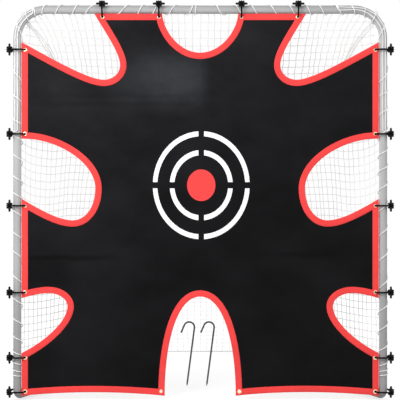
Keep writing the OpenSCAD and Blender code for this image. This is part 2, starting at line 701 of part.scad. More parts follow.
top_rail();
corner_tube(-1);  // corner_tube_left
corner_tube(1);  // corner_tube_right
upright(-1);  // upright_left
upright(1);  // upright_right
foot_elbow(-1);  // foot_elbow_left
foot_elbow(1);  // foot_elbow_right
ground_bar(-1);  // ground_bar_left
ground_bar(1);  // ground_bar_right
rear_end_caps();
button_springs();
snap_button("rail", -1);  // snap_button_rail_left
snap_button("rail", 1);  // snap_button_rail_right
snap_button("upright", -1);  // snap_button_upright_left
snap_button("upright", 1);  // snap_button_upright_right
snap_button("foot", -1);  // snap_button_foot_left
snap_button("foot", 1);  // snap_button_foot_right
snap_button("base", -1);  // snap_button_base_left
snap_button("base", 1);  // snap_button_base_right
sheet_panel(-1, 0);  // sheet_low_left
sheet_panel(1, 0);  // sheet_low_right
sheet_panel(-1, 1);  // sheet_middle_left
sheet_panel(1, 1);  // sheet_middle_right
sheet_panel(-1, 2);  // sheet_top_left
sheet_panel(1, 2);  // sheet_top_right
border_binding();
pocket_bindings();
printed_rings();
printed_bullseye();
grommets();
arch_grommets();
bungee_cords();
toggle_side(-1, 0);  // toggle_left_1
toggle_side(-1, 1);  // toggle_left_2
toggle_side(-1, 2);  // toggle_left_3
toggle_side(-1, 3);  // toggle_left_4
toggle_side(-1, 4);  // toggle_left_5
toggle_side(-1, 5);  // toggle_left_6
toggle_side(1, 0);  // toggle_right_1
toggle_side(1, 1);  // toggle_right_2
toggle_side(1, 2);  // toggle_right_3
toggle_side(1, 3);  // toggle_right_4
toggle_side(1, 4);  // toggle_right_5
toggle_side(1, 5);  // toggle_right_6
toggle_top(0);  // toggle_top_1
toggle_top(1);  // toggle_top_2
toggle_top(2);  // toggle_top_3
toggle_top(3);  // toggle_top_4
net_back();
side_net(-1);  // net_left
side_net(1);  // net_right
net_hem_cord();
lacing_side(-1);  // lacing_left
lacing_side(1);  // lacing_right
lacing_top();
lacing_base(-1);  // lacing_base_left
lacing_base(1);  // lacing_base_right
stake(0);  // stake_left
stake(1);  // stake_right
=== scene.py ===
# Practice goal: tube frame, laced pyramid net, target sheet on elastic loops, ground stakes.
import json
import math
import bmesh
import bpy
import numpy as np
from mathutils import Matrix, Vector
from mathutils.geometry import delaunay_2d_cdt


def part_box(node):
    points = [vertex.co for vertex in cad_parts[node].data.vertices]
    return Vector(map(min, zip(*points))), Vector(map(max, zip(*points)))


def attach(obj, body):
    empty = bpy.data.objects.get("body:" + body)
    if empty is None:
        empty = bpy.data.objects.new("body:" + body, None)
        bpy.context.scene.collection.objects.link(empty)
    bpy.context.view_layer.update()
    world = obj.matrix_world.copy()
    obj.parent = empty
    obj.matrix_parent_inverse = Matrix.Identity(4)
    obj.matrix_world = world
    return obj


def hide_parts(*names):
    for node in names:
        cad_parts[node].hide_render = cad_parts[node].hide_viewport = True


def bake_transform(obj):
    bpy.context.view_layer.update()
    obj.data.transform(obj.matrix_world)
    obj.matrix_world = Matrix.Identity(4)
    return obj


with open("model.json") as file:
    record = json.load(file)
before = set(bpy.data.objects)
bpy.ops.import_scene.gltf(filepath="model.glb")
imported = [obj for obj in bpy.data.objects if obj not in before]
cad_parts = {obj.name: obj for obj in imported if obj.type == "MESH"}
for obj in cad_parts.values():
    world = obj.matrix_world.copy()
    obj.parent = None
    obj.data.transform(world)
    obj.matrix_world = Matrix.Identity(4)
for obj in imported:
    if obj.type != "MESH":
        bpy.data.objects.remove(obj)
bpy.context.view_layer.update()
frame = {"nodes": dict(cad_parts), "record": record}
scene = bpy.context.scene

# ---- sizes, in metres
rail_low, rail_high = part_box("top_rail")
upright_low, upright_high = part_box("upright_right")
tube_r = (rail_high.z - rail_low.z) / 2
rail_z = 1.848
mouth_y = (rail_low.y + rail_high.y) / 2
lift = (rail_low.z + rail_high.z) / 2 - rail_z
upright_x = (upright_low.x + upright_high.x) / 2
corner_r = 0.138
foot_r = 0.025
base_turn = math.atan((upright_x - 0.250) / 1.450)
hem_y = 1.428
slope = math.atan((rail_z - tube_r) / hem_y)
side_length = hem_y / math.cos(base_turn)
back_length = math.hypot(hem_y, rail_z - tube_r)

sheet_y = -0.016755
sheet_half = 0.845
sheet_top = 1.825
hem_z = 0.018
hem_rise = 0.017
target_z = 1.016
target_x = 0.005
cloth_t = 0.0012
tape_t = 0.0008
tape_w = 0.030
arch_half = 0.168
corner_x = 0.60

lace_r = 0.002
lace_off = 0.00215
lace_turn_r = tube_r + 0.0003 + lace_r + lace_off
lace_outer = 0.026657
cord_r = 0.004
waist_loop_r = 0.0117
side_dir = (-math.sin(base_turn), math.cos(base_turn))
top_dir = (-math.sin(slope), math.cos(slope))
side_heights = [1.655, 1.256, 0.917, 0.507, 0.199, 0.038]
top_places = [-0.463, -0.195, 0.195, 0.463]
side_toggle = (0.033, -0.0229907)
top_toggle = (0.022, -0.0334236)
bottom_tilt = math.radians(7)
folds = ((0.670, -0.95, -0.38, 0.72), (0.684, 0.30, 0.68, 0.5), (1.398, -0.80, -0.05, 0.2),
         (1.437, -0.70, 0.0, 0.2))  # height, left, right, depth
fold_x = 0.030
thread = 0.0016
cloth_step = 0.016
twine_r = 0.0011
grommet_in = 0.017
tape_out = cloth_t / 2 + tape_t
side_ahead = np.array([*side_dir, 0])
side_out = np.array([side_dir[1], -side_dir[0], 0])
rail_run = upright_x - corner_r
both_sides = ((-1, "left"), (1, "right"))


def placed(points):
    """Points of the goal's own frame (mouth at y 0, tubes' underside at z 0) in the row frame."""
    return np.asarray(points, float) + np.array([0, mouth_y, lift])


# ---- materials
def tint(colour, factor):
    return tuple(c * factor for c in colour)


class Nodes:
    """A node tree. Inputs are filled in order or by name: an output is linked, a plain value is set."""

    def __init__(self, tree, prefix="ShaderNode"):
        self.tree, self.prefix = tree, prefix

    def fill(self, node, *values, **named):
        pairs = list(zip(node.inputs, values))
        pairs += [(node.inputs[name.replace("_", " ")], value) for name, value in named.items()]
        for socket, value in pairs:
            if isinstance(value, bpy.types.NodeSocket):
                self.tree.links.new(value, socket)
            else:
                socket.default_value = value
        return node

    def add(self, kind, *values, **named):
        kind = kind if "Node" in kind else self.prefix + kind
        return self.fill(self.tree.nodes.new(kind), *values, **named)

    def math(self, kind, *values):
        made = self.add("Math", *values)
        made.operation = kind
        return made.outputs[0]

    def chain(self, kind, first, *others):
        for other in others:
            first = self.math(kind, first, other)
        return first

    def times(self, *values):
        return self.chain("MULTIPLY", *values)

    def plus(self, *values):
        return self.chain("ADD", *values)

    def seen_by(self, *rays):
        """1 for rays of the named kinds and 0 for the rest."""
        path = self.add("LightPath").outputs
        return self.chain("MAXIMUM", *(path["Is %s Ray" % ray] for ray in rays))


class Finish(Nodes):
    """A node material with one Principled shader and a few helpers to wire patterns into it."""

    def __init__(self, name, base, roughness, metallic=0.0, **named):
        self.mat = bpy.data.materials.new(name)
        self.mat.use_nodes = True
        super().__init__(self.mat.node_tree)
        self.base, self.shader = base, self.tree.nodes["Principled BSDF"]
        self.set(Base_Color=(*base, 1), Roughness=roughness, Metallic=metallic, **named)

    def set(self, **named):
        self.fill(self.shader, **named)

    def coords(self, kind="Object", scale=(1, 1, 1)):
        source = self.add("TexCoord").outputs[kind]
        return self.add("Mapping", Vector=source, Scale=scale).outputs[0]

    def axes(self, kind="Object"):
        return self.add("SeparateXYZ", self.coords(kind)).outputs[:]

    def noise(self, scale, detail=3.0, roughness=0.5, stretch=(1, 1, 1)):
        return self.add("TexNoise", Vector=self.coords(scale=stretch), Scale=scale, Detail=detail,
                        Roughness=roughness).outputs["Fac"]

    def range(self, value, low, high, start=0.0, end=1.0):
        return self.add("MapRange", Value=value, From_Min=start, From_Max=end, To_Min=low,
                        To_Max=high).outputs[0]

    def ramp(self, value, stops):
        """Colours by a value, from (place, colour) stops; a plain number is a tint of the base colour."""
        made = self.add("ValToRGB", value)
        elements = made.color_ramp.elements
        while len(elements) < len(stops):
            elements.new(0.5)
        for element, (place, colour) in zip(elements, stops):
            element.position = place
            element.color = (*(tint(self.base, colour) if isinstance(colour, float) else colour), 1)
        return made.outputs["Color"]

    def colour(self, value, *stops):
        self.set(Base_Color=self.ramp(value, stops))

    def bump(self, height, distance, strength):
        self.set(Normal=self.add("Bump", Height=height, Distance=distance, Strength=strength).outputs[0])

    def wave(self, value, pitch):
        return self.math("SINE", self.times(value, math.tau / pitch))

    def weave(self):
        x, _, z = self.axes()
        return self.times(self.wave(x, thread), self.wave(z, thread))

    def strands(self, radius, strength):
        """Three strands laid round each other: grooves that climb round the cord's own UV map."""
        along, around, _ = self.axes("UV")
        angle = self.plus(self.times(along, math.tau / (8.8 * radius)), self.times(around, 3 * math.tau))
        grooves = self.math("ABSOLUTE", self.math("SINE", angle))
        self.bump(grooves, radius * 0.4, strength)
        return grooves


def powder_coat():
    """Grey paint with painted light and shade: darker towards the ground and along the top rail, darker where it
    faces the sky, lighter on its undersides, on the edges that face the sheet and further back.
    """
    f = Finish("powder coat", (0.475, 0.478, 0.48), 0.55, Specular_IOR_Level=0.2)
    (x, y, z), (facing_x, _, facing_z), top = f.axes(), f.axes("Normal"), 1.9
    # Painted light and shade by height: darker towards the foot and along the top rail, lighter up the uprights.
    height_shading = f.ramp(f.range(z, 0.0, 1.0, 0.0, top), [(z / top, (t, t, t)) for z, t in (
        (0.0, 0.50), (0.3, 0.51), (0.45, 0.54), (0.62, 0.66), (1.0, 0.67), (1.3, 0.74), (1.6, 0.82), (1.86, 0.63))])
    tone = f.times(height_shading, f.range(f.noise(6.0, 4.0, 0.6), 0.95, 1.04, 0.3, 0.75),
                   # Painted shade on the sides that face the sky, painted light on the undersides.
                   f.range(facing_z, 1.4, 0.76, -0.9, 0.6),
                   # Painted light on the edges that face the sheet, where the black cloth shades them.
                   f.range(f.times(facing_x, x), 1.36, 1.0, -0.84, -0.44),
                   # Lighter further back: on the ground bars this takes back part of the painted shade by height.
                   f.range(y, 1.0, 1.35, mouth_y + 0.05, mouth_y + 0.3))
    f.colour(tone, (0.0, 0.0), (1.0, 1.3))
    f.set(Roughness=f.range(f.noise(60.0), 0.46, 0.62))
    f.bump(f.noise(900.0, 2.0, 0.6), 0.0002, 0.35)
    return f.mat


def woven_cloth():
    """Black cloth with painted light and shade: paler towards the top, darker at the foot and towards the right, a
    painted sheen high up left of the middle, and painted shade along its folds.
    """
    f = Finish("black woven polyester", (0.0078, 0.0079, 0.0091), 0.85, Specular_IOR_Level=0.1,
               Sheen_Weight=0.02, Sheen_Roughness=0.5)
    x, _, z = f.axes()
    clouds = f.noise(2.6, 5.0, 0.62, (1, 1, 1.5))
    # Painted light and shade by height: paler towards the top, darker at the foot.
    raised = f.math("POWER", f.range(z, 0.0, 1.0, 0.1, 1.8), 1.7)
    tone = f.times(f.range(raised, 0.53, 1.54), f.range(clouds, 0.62, 1.6, 0.3, 0.72),
                   f.range(x, 1.03, 0.64, -0.6, 0.5))
    # A painted sheen: a pale patch high up, left of the middle.
    across, up = f.times(f.plus(x, 0.13), 2.9), f.times(f.plus(z, -1.515), 6.0)
    away = f.math("SQRT", f.plus(f.times(across, across), f.times(up, up)))
    tone = f.plus(tone, f.times(f.range(away, 1.0, 0.0, 0.15, 1.1), f.range(x, 1.0, 0.12, 0.0, 0.05),
                                f.range(clouds, 0.5, 1.3, 0.35, 0.65), 2.6))
    waves = 0.022
    waver = f.plus(z, f.times(f.noise(14.0, 3.0, 0.6), waves))
    # Painted shade along each fold's crease.
    for height, left, right, depth in folds:
        half = (right - left) / 2
        off = f.math("ABSOLUTE", f.plus(waver, -(height + lift + waves / 2)))
        beside = f.math("ABSOLUTE", f.plus(x, -(left + right) / 2))
        crease_shade = f.times(f.range(off, 1.0, 0.0, 0.003, 0.017), f.range(beside, 1.0, 0.0, half - 0.15, half + 0.05),
                        f.range(clouds, 0.7 * depth, depth, 0.3, 0.7))
        tone = f.times(tone, f.math("SUBTRACT", 1.0, crease_shade))
    # The palest tones, in the painted sheen, run to a bluish grey.
    f.colour(f.range(tone, 0.0, 1.0, 0.0, 5.0), (0.0, 0.0), (0.35, 1.75), (1.0, (0.0350, 0.0392, 0.0428)))
    f.set(Roughness=f.range(clouds, 0.92, 0.76, 0.3, 0.75))
    f.bump(f.plus(f.weave(), f.noise(300.0, 2.0)), 0.00015, 0.5)
    return f.mat


def woven_tape(name, base, rough=0.7):
    f = Finish(name, base, rough, Specular_IOR_Level=0.12)
    along, across, _ = f.axes("UV")
    f.bump(f.plus(f.wave(along, 0.0012), f.wave(across, 0.0021)), 0.00015, 0.5)
    f.colour(f.noise(9.0, 4.0, 0.6), (0.3, 0.88), (0.6, 1.0), (0.8, 1.06))
    return f.mat


def printed_ink(name, base):
    f = Finish(name, base, 0.7, Specular_IOR_Level=0.12)
    f.colour(f.noise(40.0, 5.0, 0.7), (0.25, 0.90), (0.55, 1.0), (0.8, 1.0))
    f.bump(f.weave(), 0.0001, 0.4)
    return f.mat


def lacing_cord():
    f = Finish("lacing cord", (0.94, 0.94, 0.935), 0.65, Specular_IOR_Level=0.2)
    # Painted shade in the grooves between the strands.
    f.colour(f.strands(lace_r, 0.45), (0.0, 0.84), (0.35, 0.98), (1.0, 1.0))
    return f.mat


def net_twine():
    """White twine: a little darker low down by the mouth, with painted light at the back, where the sheet shades
    it.
    """
    f = Finish("net twine", (0.9, 0.9, 0.895), 0.65, Specular_IOR_Level=0.2)
    _, y, z = f.axes()
    # Painted light at the back of the net, where the sheet shades it; a little darker low down by the mouth.
    tone = f.math("MAXIMUM", f.range(z, 0.96, 1.07, 0.4, 1.0), f.range(y, 0.0, 1.1, mouth_y + 0.55, mouth_y + 0.85))
    # Painted shade in the grooves between the strands.
    f.colour(f.times(tone, f.range(f.strands(twine_r, 0.35), 0.9, 1.0, 0.0, 0.5)), (0.0, 0.0), (1.0, 1.0))
    return f.mat


def braided_elastic():
    f = Finish("braided elastic", (0.004, 0.004, 0.0045), 0.85, Specular_IOR_Level=0.05)
    u, v, _ = f.axes("UV")
    along, around = f.times(u, math.tau / 0.0052), f.times(v, 8 * math.tau)
    braid = f.math("MAXIMUM", *(f.math("SINE", f.math(way, along, around)) for way in ("ADD", "SUBTRACT")))
    f.bump(braid, 0.0005, 0.7)
    # Painted shade in the braid's grooves, painted light on its crests.
    f.colour(f.range(braid, 0.0, 1.0, -1.0, 1.0), (0.0, 0.5), (1.0, 1.3))
    return f.mat


def moulded(name, base, rough, shine=0.2):
    f = Finish(name, base, rough, Specular_IOR_Level=shine)
    f.set(Roughness=f.range(f.noise(160.0), rough - 0.08, rough + 0.12))
    f.bump(f.noise(1500.0, 2.0), 0.0001, 0.3)
    return f.mat


def metal(name, base, rough, wear=0.85):
    f = Finish(name, base, rough, 1.0)
    spots = f.noise(220.0, 4.0, 0.65)
    f.colour(spots, (0.3, wear), (0.6, 1.0))
    f.set(Roughness=f.range(spots, rough + 0.12, rough - 0.05, 0.25, 0.7))
    f.bump(spots, 0.00012, 0.4)
    return f.mat


def galvanised_wire():
    f = Finish("galvanised wire", (0.15, 0.154, 0.157), 0.42, 0.5)
    spangle = f.add("TexVoronoi", Vector=f.coords(), Scale=260.0).outputs["Distance"]
    patches = f.times(spangle, f.noise(25.0))
    f.colour(patches, (0.0, 0.75), (0.3, 1.0), (0.6, 1.35))
    f.set(Roughness=f.range(patches, 0.42, 0.6))
    f.bump(f.noise(700.0, 2.0), 0.0001, 0.4)
    return f.mat


red = (0.93, 0.066, 0.064)
finishes = {
    "tube": powder_coat(),
    "cap": moulded("black cap plastic", (0.03, 0.03, 0.032), 0.5),
    "spring_steel": metal("spring steel", (0.42, 0.42, 0.43), 0.35),
    "button": metal("plated steel", (0.62, 0.63, 0.64), 0.28),
    "sheet": woven_cloth(),
    "binding": woven_tape("red binding tape", red),
    "stitch": woven_tape("red thread", tint(red, 0.8), 0.6),
    "white_print": printed_ink("white ink", (0.96, 0.96, 0.96)),
    "red_print": printed_ink("red ink", red),
    "grommet": metal("bright brass", (0.96, 0.86, 0.56), 0.24, 0.93),
    "elastic": braided_elastic(),
    "toggle": moulded("black toggle plastic", (0.006, 0.006, 0.007), 0.55, 0.12),
    "net": net_twine(),
    "lacing": lacing_cord(),
    "stake": galvanised_wire(),
}

for sub in frame["record"]["subparts"]:
    mesh = frame["nodes"][sub["node"]].data
    mesh.materials.clear()
    mesh.materials.append(finishes[sub["material_slot"]])


# ---- mesh building
def circle_angles(n):
    return np.linspace(0, math.tau, n, endpoint=False)


def unit_rows(vectors):
    return vectors / np.linalg.norm(vectors, axis=1)[:, None]


def travelled(line):
    """Lengths along a line, from its first point to each of its points."""
    return np.r_[0, np.cumsum(np.linalg.norm(np.diff(line, axis=0), axis=1))]


class Shape:
    """Collects loops of points with UVs, and makes one mesh of them in the row frame."""

    def __init__(self):
        self.points, self.faces, self.uvs = [], [], []
        self.count = 0

    def skin(self, loops, along, across, closed=False):
        """loops[i][j] are points; along[i] and across[j] are their UVs, with one more where it closes, or a
        number to spread evenly. The first and last loop are filled, unless they are joined to each other."""
        loops = np.asarray(loops, float)
        n, m = loops.shape[:2]
        along, across = (np.linspace(0, uv, count) if np.ndim(uv) == 0 else uv
                         for uv, count in ((along, n + closed), (across, m + 1)))
        base = self.count
        self.points.append(loops.reshape(-1, 3))
        self.count += n * m
        for i in range(n if closed else n - 1):
            for j in range(m):
                a, b, j2 = base + i * m, base + (i + 1) % n * m, (j + 1) % m
                self.faces.append([a + j, a + j2, b + j2, b + j])
                self.uvs += [(along[i], across[j]), (along[i], across[j + 1]),
                             (along[i + 1], across[j + 1]), (along[i + 1], across[j])]
        for i in () if closed else (0, n - 1):
            self.faces.append([base + i * m + j for j in range(m)])
            self.uvs += [(along[i], across[j]) for j in range(m)]

    def tube(self, path, radius, sides, closed=False):
        """A round cord along a path, carried along without twisting."""
        n = len(path)
        ahead = np.roll(path, -1, 0) - np.roll(path, 1, 0)
        if not closed:
            ahead[0], ahead[-1] = path[1] - path[0], path[-1] - path[-2]
        ahead = unit_rows(ahead)
        side = np.cross(ahead[0], (0.31, 0.17, 0.93))
        side /= np.linalg.norm(side)
        loops, along, angles = [], [0.0], circle_angles(sides)
        for i in range(n):
            side = side - ahead[i] * side.dot(ahead[i])
            side /= np.linalg.norm(side)
            up = np.cross(ahead[i], side)
            loops.append([path[i] + radius * (math.cos(a) * side + math.sin(a) * up) for a in angles])
            along.append(along[-1] + float(np.linalg.norm(path[(i + 1) % n] - path[i])))
        self.skin(loops, along, 1, closed)

    def lathe(self, profile, centre, axis, start, segments, wobble=None):
        """A profile of (radius, height) turned about an axis; wobble(angle, r, h) may change the radius."""
        axis, start = np.asarray(axis, float), np.asarray(start, float)
        other = np.cross(axis, start)
        loops = []
        for k in range(segments):
            a = math.tau * k / segments
            out = math.cos(a) * start + math.sin(a) * other
            loops.append([np.asarray(centre) + out * (r + (wobble(a, r, h) if wobble else 0)) + axis * h
                          for r, h in profile])
        self.skin(loops, 0.1, 0.1, True)

    def build(self, name, finish, crease, merge=0.0):
        mesh = bpy.data.meshes.new(name)
        mesh.from_pydata(np.concatenate(self.points).tolist(), [], self.faces)
        layer = mesh.uv_layers.new(name="cord")
        layer.data.foreach_set("uv", np.asarray(self.uvs, np.float32).ravel())
        bm = bmesh.new()
        bm.from_mesh(mesh)
        if merge:
            bmesh.ops.remove_doubles(bm, verts=bm.verts, dist=merge)
        bmesh.ops.recalc_face_normals(bm, faces=bm.faces)
        bm.to_mesh(mesh)
        bm.free()
        mesh.shade_smooth()
        mesh.set_sharp_from_angle(angle=math.radians(crease))
        mesh.materials.append(finishes[finish])
        return shown(name, mesh)


def shown(name, data):
    made = bpy.data.objects.new(name, data)
    scene.collection.objects.link(made)
    return made


def settled(piece):
    """Keeps what a piece's modifiers make as its plain mesh."""
    mesh = bpy.data.meshes.new_from_object(piece.evaluated_get(bpy.context.evaluated_depsgraph_get()))
    piece.modifiers.clear()
    old, piece.data = piece.data, mesh
    bpy.data.meshes.remove(old)
    mesh.name = piece.name
    return piece


def finished(piece, nodes=(), body="goal"):
    """A finished piece rides on a body, and stands for the nodes that it replaces."""
    if nodes:
        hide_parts(*nodes)
    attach(piece, body)
    return piece


def smooth(t):
    t = np.clip(t, 0, 1)
    return t * t * (3 - 2 * t)


# ---- outline of the target sheet
def curve(points, steps=22):
    """Points along joined cubic curves, with two controls between each end and the next."""
    out = []
    for k in range(0, len(points) - 3, 3):
        p = [np.array(q, float) for q in points[k:k + 4]]
        for t in np.arange(steps) / steps:
            q = 1 - t
            out.append(q ** 3 * p[0] + 3 * q * q * t * p[1] + 3 * q * t * t * p[2] + t ** 3 * p[3])
    return np.array(out + [np.array(points[-1], float)])


def from_edge(points, z, down=False):
    return [(-sheet_half + a / 1000, z + (-b if down else b) / 1000) for a, b in points]


top_corner = curve(from_edge([(344, 0), (396, 88), (466, 188), (466, 242), (466, 283), (432, 312),
                              (388, 312), (316, 312), (146, 214), (0, 134)], sheet_top, True))
middle = curve(from_edge([(0, 218), (166, 222), (349, 106), (349, -17), (349, -99), (306, -168),
                          (242, -168), (176, -168), (86, -117), (0, -66)], target_z))
low = curve(from_edge([(0, 461), (41, 474), (86, 485), (128, 485), (178, 485), (217, 456),
                       (217, 423), (217, 355), (116, 260), (0, 202)], hem_z))
top_middle = curve([(0.181 * a, sheet_top - 0.184 * b) for a, b in
                    [(1, 0), (0.93, 0.52), (0.5, 1), (0, 1), (-0.5, 1), (-0.93, 0.52), (-1, 0)]])
arch = curve([(arch_half * a, hem_z + 0.469 * b) for a, b in
              [(-1, 0), (-1, 0.54), (-0.65, 1), (0, 1), (0.65, 1), (1, 0.54), (1, 0)]])


def other_side(c):
    return c[::-1] * np.array([-1, 1])


def hem_height(x, u=0.0):
    t = np.clip((np.abs(x) - arch_half) / (sheet_half - arch_half), 0, 1)
    return hem_z + u + hem_rise * 4 * t * (1 - t)


hem_x = np.linspace(arch_half, sheet_half, 60)
hem_right = np.stack([hem_x, hem_height(hem_x)], 1)
pockets = {"low_right": other_side(low), "middle_right": other_side(middle),
           "top_corner_right": other_side(top_corner), "top_middle": top_middle,
           "top_corner_left": top_corner, "middle_left": middle, "low_left": low, "arch": arch}


def densified(line, step=0.012, closed=True):
    out = []
    for a, b in zip(line, np.roll(line, -1, 0) if closed else line[1:]):
        n = max(1, int(np.linalg.norm(b - a) / step))
        out += [a + (b - a) * i / n for i in range(n)]
    return np.array(out if closed else out + [line[-1]])


def cleaned(loop):
    keep = [loop[0]]
    for p in loop[1:]:
        if np.linalg.norm(p - keep[-1]) > 1e-4:
            keep.append(p)
    return np.array(keep)


outline = cleaned(np.concatenate([hem_right] + [pockets[k] for k in (
    "low_right", "middle_right", "top_corner_right", "top_middle", "top_corner_left", "middle_left",
    "low_left")] + [other_side(hem_right), arch[1:-1]]))

held_spots = [(s * (sheet_half - grommet_in), z) for s in (-1, 1) for z in side_heights]
held_spots += [(x, sheet_top - grommet_in) for x in top_places]
arch_spots = [(s * (arch_half + grommet_in), hem_z + 0.020) for s in (-1, 1)]
spots = held_spots + arch_spots


def drape(x, z):
    """How far the hung cloth stands behind its flat place: soft billows, and pulls at the grommets."""
    billow = (0.0035 * np.sin(2.3 * x + 1.1) * np.sin(2.0 * z + 0.3)
              + 0.0016 * np.sin(5.3 * x - 3.1 * z + 0.7) + 0.0009 * np.sin(4.1 * x + 8.3 * z))
    pull, held = 0.0, 1.0
    for k, (gx, gz) in enumerate(spots):
        r = np.hypot(x - gx, z - gz)
        a = np.arctan2(z - gz, x - gx)
        pull = pull + 0.0011 * np.exp(-r / 0.12) * np.cos(9 * a + 1.7 * k)
        held = held * (1 - np.exp(-(r / 0.04) ** 2))
    for height, left, right, depth in folds:
        along = smooth((x - left) / 0.15) * smooth((right - x) / 0.15)
        pull = pull + 0.0016 * along * np.exp(-np.abs(z - height) / 0.014)
    pull = pull - 0.0020 * np.exp(-np.abs(x - fold_x) / 0.018) * smooth((z - 1.15) / 0.2)
    inner = smooth((sheet_half - np.abs(x)) / 0.09) * smooth((sheet_top - z) / 0.09)
    return (billow * inner + pull * (0.25 + 0.75 * inner)) * held


def hung(flat, behind):
    """Flat (x, z) points of the sheet, at a distance behind its middle, in the row frame."""
    y = sheet_y + behind + drape(flat[..., 0], flat[..., 1])
    return placed(np.stack([flat[..., 0], y, flat[..., 1]], -1))


def inside(points, loop):
    x, z = points[:, 0], points[:, 1]
    hit = np.zeros(len(points), bool)
    for a, b in zip(loop, np.roll(loop, -1, 0)):
        crosses = (a[1] > z) != (b[1] > z)
        if crosses.any():
            at = (b[0] - a[0]) * (z - a[1]) / (b[1] - a[1]) + a[0]
            hit ^= crosses & (x < at)
    return hit


def cloth_faces(loop, holes, hole_r=0.0058):
    """Triangles that fill a loop, with even points inside it."""
    rings = [loop] + [np.array([(cx + hole_r * math.cos(a), cz + hole_r * math.sin(a)) for a in circle_angles(20)])
                      for cx, cz in holes]
    low, high = loop.min(0), loop.max(0)
    grid = np.stack(np.meshgrid(*(np.arange(low[i], high[i], cloth_step) for i in (0, 1))), -1).reshape(-1, 2)
    grid = grid[inside(grid, loop)]
    for centres, gap in ((loop, 0.55 * cloth_step), (holes, hole_r + 0.4 * cloth_step)):
        for cx, cz in centres:
            grid = grid[np.hypot(grid[:, 0] - cx, grid[:, 1] - cz) > gap]
    points, edges = [], []
    for ring in rings:
        base, n = len(points), len(ring)
        points += [Vector(p) for p in ring]
        edges += [(base + i, base + (i + 1) % n) for i in range(n)]
    points += [Vector(p) for p in grid]
    verts, _, faces, *_ = delaunay_2d_cdt(points, edges, [], 1, 1e-6)
    verts = np.array([tuple(v) for v in verts])
    keep = []
    for f in faces:
        c = verts[list(f)].mean(0)
        if all(math.hypot(c[0] - cx, c[1] - cz) > hole_r for cx, cz in holes):
            a, b, d = verts[f[0]], verts[f[1]], verts[f[2]]
            flipped = (b[0] - a[0]) * (d[1] - a[1]) - (b[1] - a[1]) * (d[0] - a[0]) < 0
            keep.append(list(f)[::-1] if flipped else list(f))
    return verts, keep


def cloth_piece(name, finish, loops, behind, thickness, holes=()):
    """A hung cloth layer: its front face, its back face and its rim."""
    shape = Shape()
    for loop in loops:
        flat, faces = cloth_faces(loop, holes)
        n, base = len(flat), shape.count
        shape.points += [hung(flat, behind + side * thickness / 2) for side in (-1, 1)]
        rim = dict.fromkeys((a, b) for f in faces for a, b in zip(f, f[1:] + f[:1]))
        made = [[base + i for i in f] for f in faces]
        made += [[base + n + i for i in f[::-1]] for f in faces]
        made += [[base + b, base + a, base + n + a, base + n + b] for a, b in rim if (b, a) not in rim]
        shape.faces += made
        shape.uvs += [tuple(flat[(i - base) % n]) for f in made for i in f]
        shape.count += 2 * n
    return shape.build(name, finish, 30)


def square_to(directions):
    """Left-hand unit normals of flat directions."""
    d = unit_rows(directions)
    return np.stack([-d[:, 1], d[:, 0]], 1)


def drawn_in(loop, by):
    """A closed loop, walked with the cloth on its left, moved into the cloth."""
    before, after = square_to(loop - np.roll(loop, 1, 0)), square_to(np.roll(loop, -1, 0) - loop)
    dot = np.maximum((before * after).sum(1), -0.6)
    return loop + by * (before + after) / (1 + dot)[:, None]


cloth = cloth_piece("target_sheet_cloth", "sheet", [densified(drawn_in(outline, 0.0015))], 0.0, cloth_t, spots)
finished(cloth, ["sheet_%s_%s" % (row, side) for row in ("low", "middle", "top")
                          for side in ("left", "right")])


# ---- print
print_centre = np.array([target_x, target_z - 0.0021])
print_t = 0.0003
print_behind = -(cloth_t + print_t) / 2
oval_rise = 1.115


def oval(r, n, a0=0.0, a1=360.0):
    a = np.radians(np.linspace(a0, a1, n))
    return np.stack([r * np.cos(a), r * oval_rise * np.sin(a)], 1)


def ring_quarter(outer, inner, sx, sz, gap=0.0133):
    """One of a ring's four arcs, between the gaps on the two middle lines."""
    arcs = []
    for r in (outer, inner):
        a0 = math.degrees(math.asin(gap / r))
        arcs.append(oval(r, 30, a0, 90 - a0))
    loop = np.concatenate([arcs[0], arcs[1][::-1]]) * np.array([sx, sz])
    return densified(loop[::sx * sz], 0.008) + print_centre


arcs = [ring_quarter(outer, inner, *quarter) for outer, inner in ((0.2292, 0.2078), (0.1492, 0.1272))
        for quarter in ((1, 1), (-1, 1), (-1, -1), (1, -1))]
rings = cloth_piece("printed_ring_arcs", "white_print", arcs, print_behind, print_t)
finished(rings, ["printed_rings"])
spot = cloth_piece("printed_spot", "red_print", [oval(0.0670, 73)[:-1] + print_centre], print_behind, print_t)
finished(spot, ["printed_bullseye"])


# ---- binding tape
def tape_profile():
    """(distance into the cloth, distance behind its middle) round the folded tape's section."""
    half = cloth_t / 2 + 0.0001
    out = half + tape_t
    fold = [(out - out * math.sin(a), -out * math.cos(a)) for a in np.linspace(0, math.pi, 7)]
    front = [(tape_w, -half), (tape_w, -out + 0.0003), (tape_w - 0.0006, -out), (tape_w - 0.010, -out - 0.0002),
             (0.010, -out - 0.0002)]
    return front + fold + [(u, -v) for u, v in front[::-1]] + [(out, half), (out, -half)]


def resampled(line, n):
    line = np.asarray(line, float)
    at = travelled(line)
    t = np.linspace(0, at[-1], n)
    return np.stack([np.interp(t, at, line[:, k]) for k in (0, 1)], 1)


def sheet_depth(flat):
    """How far flat points of the sheet lie inside its outer edges."""
    edge = np.minimum(sheet_half - np.abs(flat[:, 0]), sheet_top - flat[:, 1])
    return np.minimum(edge, flat[:, 1] - hem_height(flat[:, 0]))


def pocket_run(c, run=0.08):
    """Tape round a pocket's edge, ended where it meets the sheet's outer edges."""
    def line_at(u):
        d = unit_rows(np.gradient(c, axis=0))
        m = c + u * square_to(d)
        line = densified(np.concatenate([[m[0] - run * d[0]], m, [m[-1] + run * d[-1]]]), 0.004, False)
        on = np.nonzero(sheet_depth(line) >= 0)[0]
        return line[on[0]:on[-1] + 1]
    return line_at


